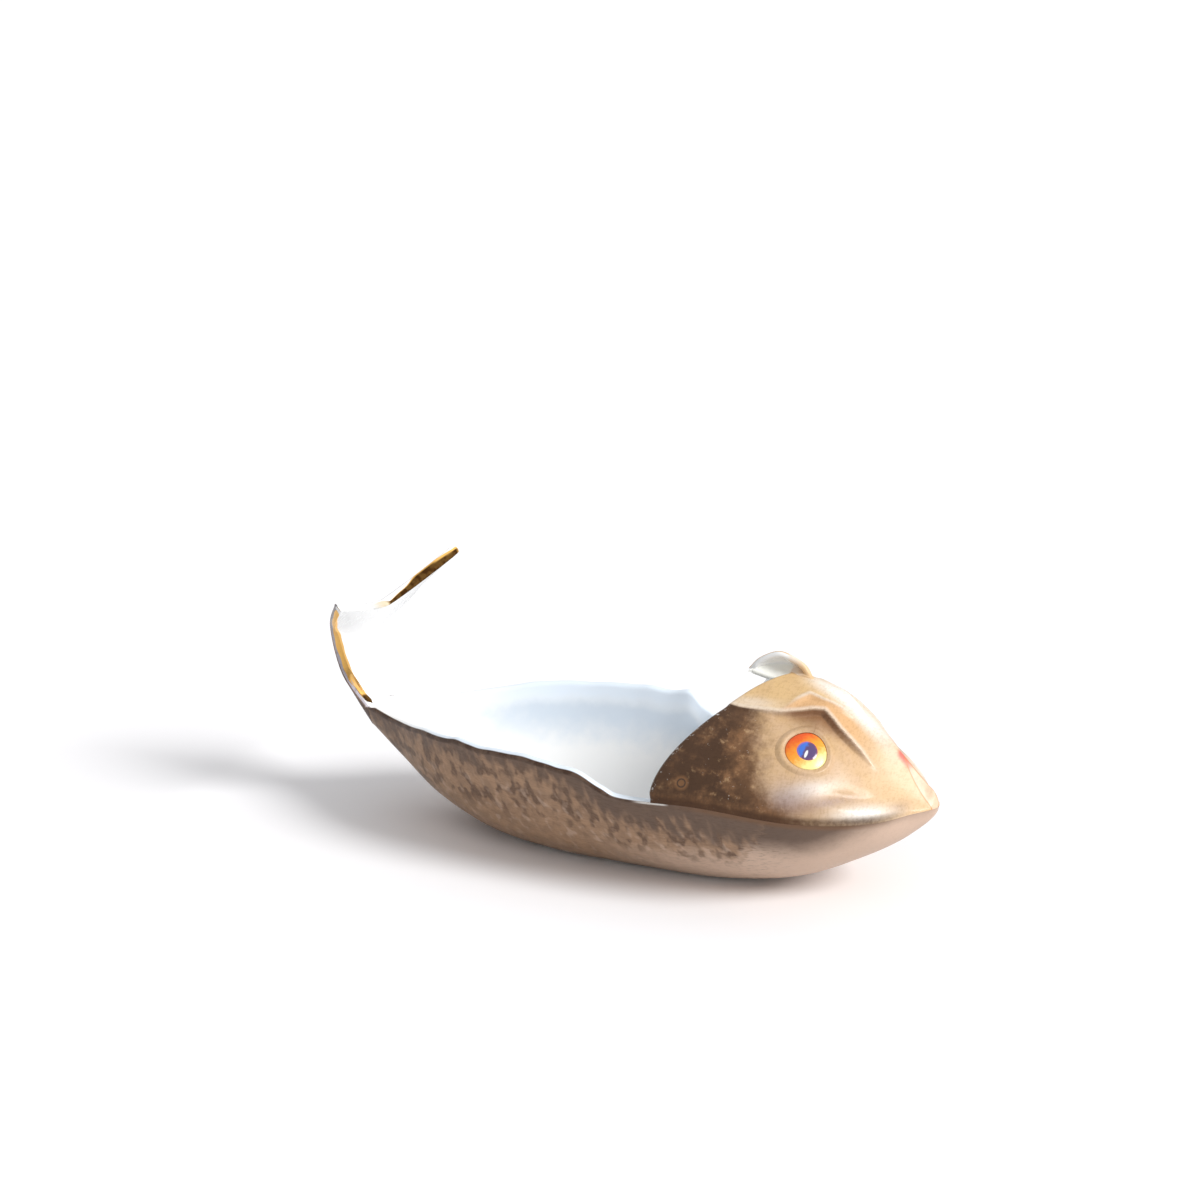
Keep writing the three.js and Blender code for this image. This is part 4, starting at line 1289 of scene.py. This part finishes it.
def gold_lustre(paint):
    material, s, shader = new_finish("gold lustre")
    place = s.place()
    along, dark_reflection = (s.mark(name).outputs["Fac"] for name in ("along", "dark_reflection"))
    strokes = s.blot(place, 0.6)
    worn = s.ramp(along, 0.32, 0.35)
    skin = Painting(s, paint, "gold")
    # Near half of the top: worn, pale cream gold that also stands for the lamp's painted reflection, with white glaze
    # towards the right tip.
    skin.lay("cream", worn, s.ramp(along, 0.51, 0.5), 0.95)
    skin.lay("glaze", worn, s.ramp(along, 0.495, 0.45))
    # Painted dark reflection, then a few brown blots in the gold.
    skin.lay("brown_gold_and_reflection", dark_reflection, s.span(strokes, 0.93, 1.0))
    skin.lay("brown_gold_and_reflection", s.blot(place, 2.4, 0.35, 0.06), 0.15)
    s.join(skin.colour, shader.inputs["Base Color"])
    s.join(s.span(strokes, 0.28, 0.42), shader.inputs["Roughness"])
    # Barely metallic where the dark reflection is painted.
    s.join(s.line(dark_reflection, -0.75, 0.85), shader.inputs["Metallic"])
    shader.inputs["Specular IOR Level"].default_value = 0.0
    emboss(s, shader, s.noise(place, 2.0, 3.0), GOLD_RELIEF, 0.05)
    return material


GOLD_STEPS = 481
# Parts of the band, from the foot of the right edge over the top to the foot of the left edge.
BARE_TIP = (0.315, 0.322, 0.44, 0.46)
LEFT_TOP = (0.5, 0.508, 0.662, 0.672)
RIGHT_END = (0.28, 0.31)
LEFT_END = (0.66, 0.69)
LEFT_START = 0.22  # where the gold of the left edge starts, in parts of the fin's height
SUNK = -0.1  # the gold's hidden side lies this deep in the fin, in millimetres


class CELLAR_OT_gilding(bpy.types.Operator):
    """Makes the gold brushed along the edge of the fin"""

    bl_idname = "cellar.gilding"
    bl_label = "Gilding"

    def execute(self, context):
        sizes = context.scene.cellar_sizes
        film, wrap = sizes.gold_film / MM, sizes.gold_wrap / MM
        along = np.linspace(0, 1, GOLD_STEPS)
        across_top = np.clip(3 * along - 1, 0, 1)
        foot = np.where(along < 0.5, GOLD_START, LEFT_START)
        climb = foot + (1 - foot) * np.minimum(1, 3 * np.minimum(along, 1 - along))
        sway = 0.25 * np.sin(along * 61) + 0.18 * np.sin(along * 137 + 1) + 0.12 * np.sin(along * 29 + 2)

        # Brushed on the edges and the left half of the top, bare at the right tip; in between it is worn, painted
        # pale cream that also stands for the lamp's reflection.
        ends = stretch(along, 0, 0.01, 0.97, 1)
        laid = ends * (1 - stretch(along, *BARE_TIP))
        left_top = stretch(along, *LEFT_TOP)
        right_edge = 1 - smooth(along, *RIGHT_END)
        left_edge = smooth(along, *LEFT_END)

        # How far it reaches over the face, and from where to where through the edge.
        breadth = wrap * (0.9 * right_edge * (1 + 0.6 * sway) + 0.1 * left_top)
        breadth = breadth * (0.3 + 0.7 * smooth(climb, 0.05, 0.4)) + 0.03
        brink = 1 - 0.25 * left_edge
        broad = left_top * (-0.4 + 0.85 * smooth(along, 0.49, 0.61) - 0.3 * smooth(along, 0.64, 0.667))
        start = 0.46 + 0.25 * sway + 0.16 * right_edge * smooth(climb, 0.6, 0.85) - broad + 0.5 * (1 - ends)
        start = np.clip(start, 0.04, 0.95)
        proud = film * laid * (1 + 1.5 * (1 - smooth(climb, 0.15, 0.4))) - 0.08 * (1 - laid)

        steps = [("edge", k) for k in np.linspace(0, 1, 6)] + [("face", k) for k in (0.04, 0.1, 0.2, 0.4, 0.7, 1.0)]
        there_and_back = steps + steps[::-1]
        rows = []
        for k, (kind, part) in enumerate(there_and_back):
            lift = proud if k < len(steps) else np.full(GOLD_STEPS, SUNK)
            if kind == "edge":
                depth = start + (brink - start) * part
                margin = FIN_MARGIN - FIN_ROUND * 2 * np.sqrt(np.clip(depth * (1 - depth), 0, 1)) - lift
                out = lift / TAIL_WALL * smooth(depth, 0.9, 1)
            else:
                depth, margin, out = brink, FIN_MARGIN + breadth * part, lift / TAIL_WALL
            rows.append(fin_point(climb, across_top, margin, depth + out))
        ring = np.array(rows)
        for end in (0, -1):
            ring[:, end] = ring[:, end].mean(axis=0)
        grid = np.arange(len(ring) * GOLD_STEPS).reshape(len(ring), GOLD_STEPS)
        nxt = np.roll(grid, -1, axis=0)
        faces = np.stack([grid[:, :-1], nxt[:, :-1], nxt[:, 1:], grid[:, 1:]], -1).reshape(-1, 4)

        # Painted dark reflection: brown, barely metallic gold on the left half of the top below a lit line, and at
        # the lower end of the right edge.
        part_in = np.array([1.0 if kind == "face" else part for kind, part in there_and_back])
        lit = 0.12 + 0.2 * smooth(along, 0.6, 0.65) + 0.1 * sway
        dark_reflection = smooth(part_in[:, None] - lit, -0.06, 0.06) * left_top
        dark_reflection = np.maximum(dark_reflection, 1 - smooth(along, 0.018, 0.026))
        marks = dict(along=np.broadcast_to(along, dark_reflection.shape).ravel(), dark_reflection=dark_reflection.ravel())
        gold = make_object("gold_edge", ring.reshape(-1, 3), faces, gold_lustre(context.scene.cellar_paint), marks)
        stand_for(gold, "tail_gilding")
        return {"FINISHED"}


def glazed_curl(paint):
    material, s, shader = new_finish("glazed curl")
    place = s.place()
    along, across, depth = s.marks("skin")
    outer = Painting(s, paint, "tan")
    outer.lay("crest", s.blot(place, 0.5, 0.5, 0.2), 0.5)
    outer.lay("snout", s.ramp(along, 0.6, 0.3), 0.85)
    inner = Painting(s, paint, "glaze")
    inner.lay("cup", s.ramp(across, 0.45, 0.7), s.span(s.blot(place, 0.8, 0.5, 0.25), 0.75, 0.95))
    inner.lay("cup", s.near(across, 0.2, 0.05), 0.5)
    skin = s.mix(s.ramp(depth, 0.15, 0.3), outer.colour, inner.colour)
    outer.lay("pale", s.ramp(along, 0.15, 0.35), 0.6)
    root = s.ramp(s.math("ADD", s.wander(place, 0.8, 0.03), along), 0.42, 0.34)
    fire(s, shader, place, s.mix(root, skin, outer.colour), 0.24)
    return material


CURL_GRID = (81, 61)
CURL_ROUND = 0.8


class CELLAR_OT_curl(bpy.types.Operator):
    """Makes the cupped lobe on the crest"""

    bl_idname = "cellar.curl"
    bl_label = "Crest Curl"

    def execute(self, context):
        u, v = grid_of(CURL_GRID)
        points, faces, place, depth = shell(curl_point, u, v, lambda a, b: CURL_ROUND * fade_ends(a, 0.1))
        skin = np.stack([u.ravel()[place], v.ravel()[place], depth], -1)
        curl = make_object("crest_curl", points, faces, glazed_curl(context.scene.cellar_paint), dict(skin=skin))
        stand_for(curl, "dorsal_curl")
        return {"FINISHED"}


# Stage

CAMERA_PLACE = (0.22816, -0.49551, 0.21512)
CAMERA_TURN = (73.5, 0.0, 26.0)
CAMERA_LENS = 85
CAMERA_SENSOR = 36
LAMP_WAY = (0.999, -0.043)
LAMP_RISE = 35.0
LAMP_SPREAD = 23.0
LAMP_POWER = 2.55
ROOM_LOW = 0.28
ROOM_HIGH = 0.59
ROOM_AHEAD = 0.38
ROOM_TINT = (0.98, 0.985, 1.0)
FLOOR_DROP = 0.02
FLOOR_PAPER = (0.8, 0.8, 0.8)
FLOOR_SEEN = (1.03, 1.02, 1.03)
WHITE = (1.0, 1.0, 1.0)


class CELLAR_OT_stage(bpy.types.Operator):
    """Makes the white floor, the soft lamp, the sky and the camera"""

    bl_idname = "cellar.stage"
    bl_label = "Stage"

    def execute(self, context):
        scene = context.scene
        scene.view_settings.view_transform = "Standard"
        half = scene.cellar_sizes.floor_side / 2
        low = -FLOOR_DROP * MM
        mesh = bpy.data.meshes.new("floor")
        corners = [(-half, -half, low), (half, -half, low), (half, half, low), (-half, half, low)]
        mesh.from_pydata(corners, [], [(0, 1, 2, 3)])
        floor = add_object("floor", mesh)
        mesh.materials.append(self.floor_white())
        self.sky(scene)
        lamp = bpy.data.lights.new("soft lamp", "SUN")
        lamp.energy = LAMP_POWER
        lamp.angle = math.radians(LAMP_SPREAD)
        key = add_object("soft lamp", lamp)
        rise = math.radians(LAMP_RISE)
        way = Vector((LAMP_WAY[0] * math.cos(rise), LAMP_WAY[1] * math.cos(rise), math.sin(rise)))
        key.location = way
        key.rotation_euler = way.to_track_quat("Z", "Y").to_euler()
        view = bpy.data.cameras.new("camera")
        view.lens = CAMERA_LENS
        view.sensor_width = CAMERA_SENSOR
        eye = add_object("camera", view)
        eye.location = CAMERA_PLACE
        eye.rotation_euler = [math.radians(a) for a in CAMERA_TURN]
        scene.camera = eye
        return {"FINISHED"}

    def floor_white(self):
        """White paper that the camera sees as pure white where nothing shades it."""
        material = bpy.data.materials.new("floor white")
        s = bare_sheet(material)
        plain = s.put("ShaderNodeBsdfDiffuse", rgba(FLOOR_PAPER)).outputs[0]
        seen = s.put("ShaderNodeBsdfDiffuse", rgba(FLOOR_SEEN)).outputs[0]
        ray = s.put("ShaderNodeLightPath").outputs
        mixed = s.put("ShaderNodeMixShader", ray["Is Camera Ray"], plain, seen).outputs[0]
        s.join(mixed, s.put("ShaderNodeOutputMaterial").inputs["Surface"])
        return material

    def sky(self, scene):
        """A soft white room, lighter above and ahead, that is plain white where it is seen or mirrored."""
        world = bpy.data.worlds.new("white room")
        scene.world = world
        s = bare_sheet(world)
        ahead, _, rise = s.apart(s.put("ShaderNodeTexCoord").outputs["Generated"])
        level = s.line(s.math("MAXIMUM", ahead, 0.0), ROOM_AHEAD, s.ramp(rise, -0.1, 1.0, ROOM_LOW, ROOM_HIGH))
        room = s.put("ShaderNodeBackground", rgba(ROOM_TINT), level).outputs[0]
        seen = s.put("ShaderNodeBackground", rgba(WHITE), 1.0).outputs[0]
        ray = s.put("ShaderNodeLightPath").outputs
        white = s.math("MAXIMUM", ray["Is Camera Ray"], ray["Is Glossy Ray"])
        white = s.math("MAXIMUM", white, ray["Is Transmission Ray"])
        mixed = s.put("ShaderNodeMixShader", white, room, seen).outputs[0]
        s.join(mixed, s.put("ShaderNodeOutputWorld").inputs["Surface"])


class CELLAR_PT_panel(bpy.types.Panel):
    """Lists the pieces and their settings"""

    bl_idname = "CELLAR_PT_panel"
    bl_label = "Salt Cellar"
    bl_space_type = "VIEW_3D"
    bl_region_type = "UI"
    bl_category = "Salt Cellar"

    def draw(self, context):
        for kind in OPERATORS:
            self.layout.operator(kind.bl_idname)
        for settings in (context.scene.cellar_sizes, context.scene.cellar_paint):
            for key in settings.bl_rna.properties.keys():
                if key not in ("rna_type", "name"):
                    self.layout.prop(settings, key)


OPERATORS = (CELLAR_OT_stage, CELLAR_OT_dish, CELLAR_OT_head, CELLAR_OT_eyes, CELLAR_OT_tail, CELLAR_OT_gilding,
             CELLAR_OT_curl)
CLASSES = (CellarPaint, CellarSizes, *OPERATORS, CELLAR_PT_panel)


def register():
    for kind in CLASSES:
        bpy.utils.register_class(kind)
    bpy.types.Scene.cellar_paint = PointerProperty(type=CellarPaint)
    bpy.types.Scene.cellar_sizes = PointerProperty(type=CellarSizes)


def unregister():
    del bpy.types.Scene.cellar_paint
    del bpy.types.Scene.cellar_sizes
    for kind in reversed(CLASSES):
        bpy.utils.unregister_class(kind)


def main():
    register()
    bpy.ops.cellar.stage()
    bpy.ops.cellar.dish()
    bpy.ops.cellar.head()
    bpy.ops.cellar.eyes()
    bpy.ops.cellar.tail()
    bpy.ops.cellar.gilding()
    bpy.ops.cellar.curl()


if __name__ == "__main__":
    main()
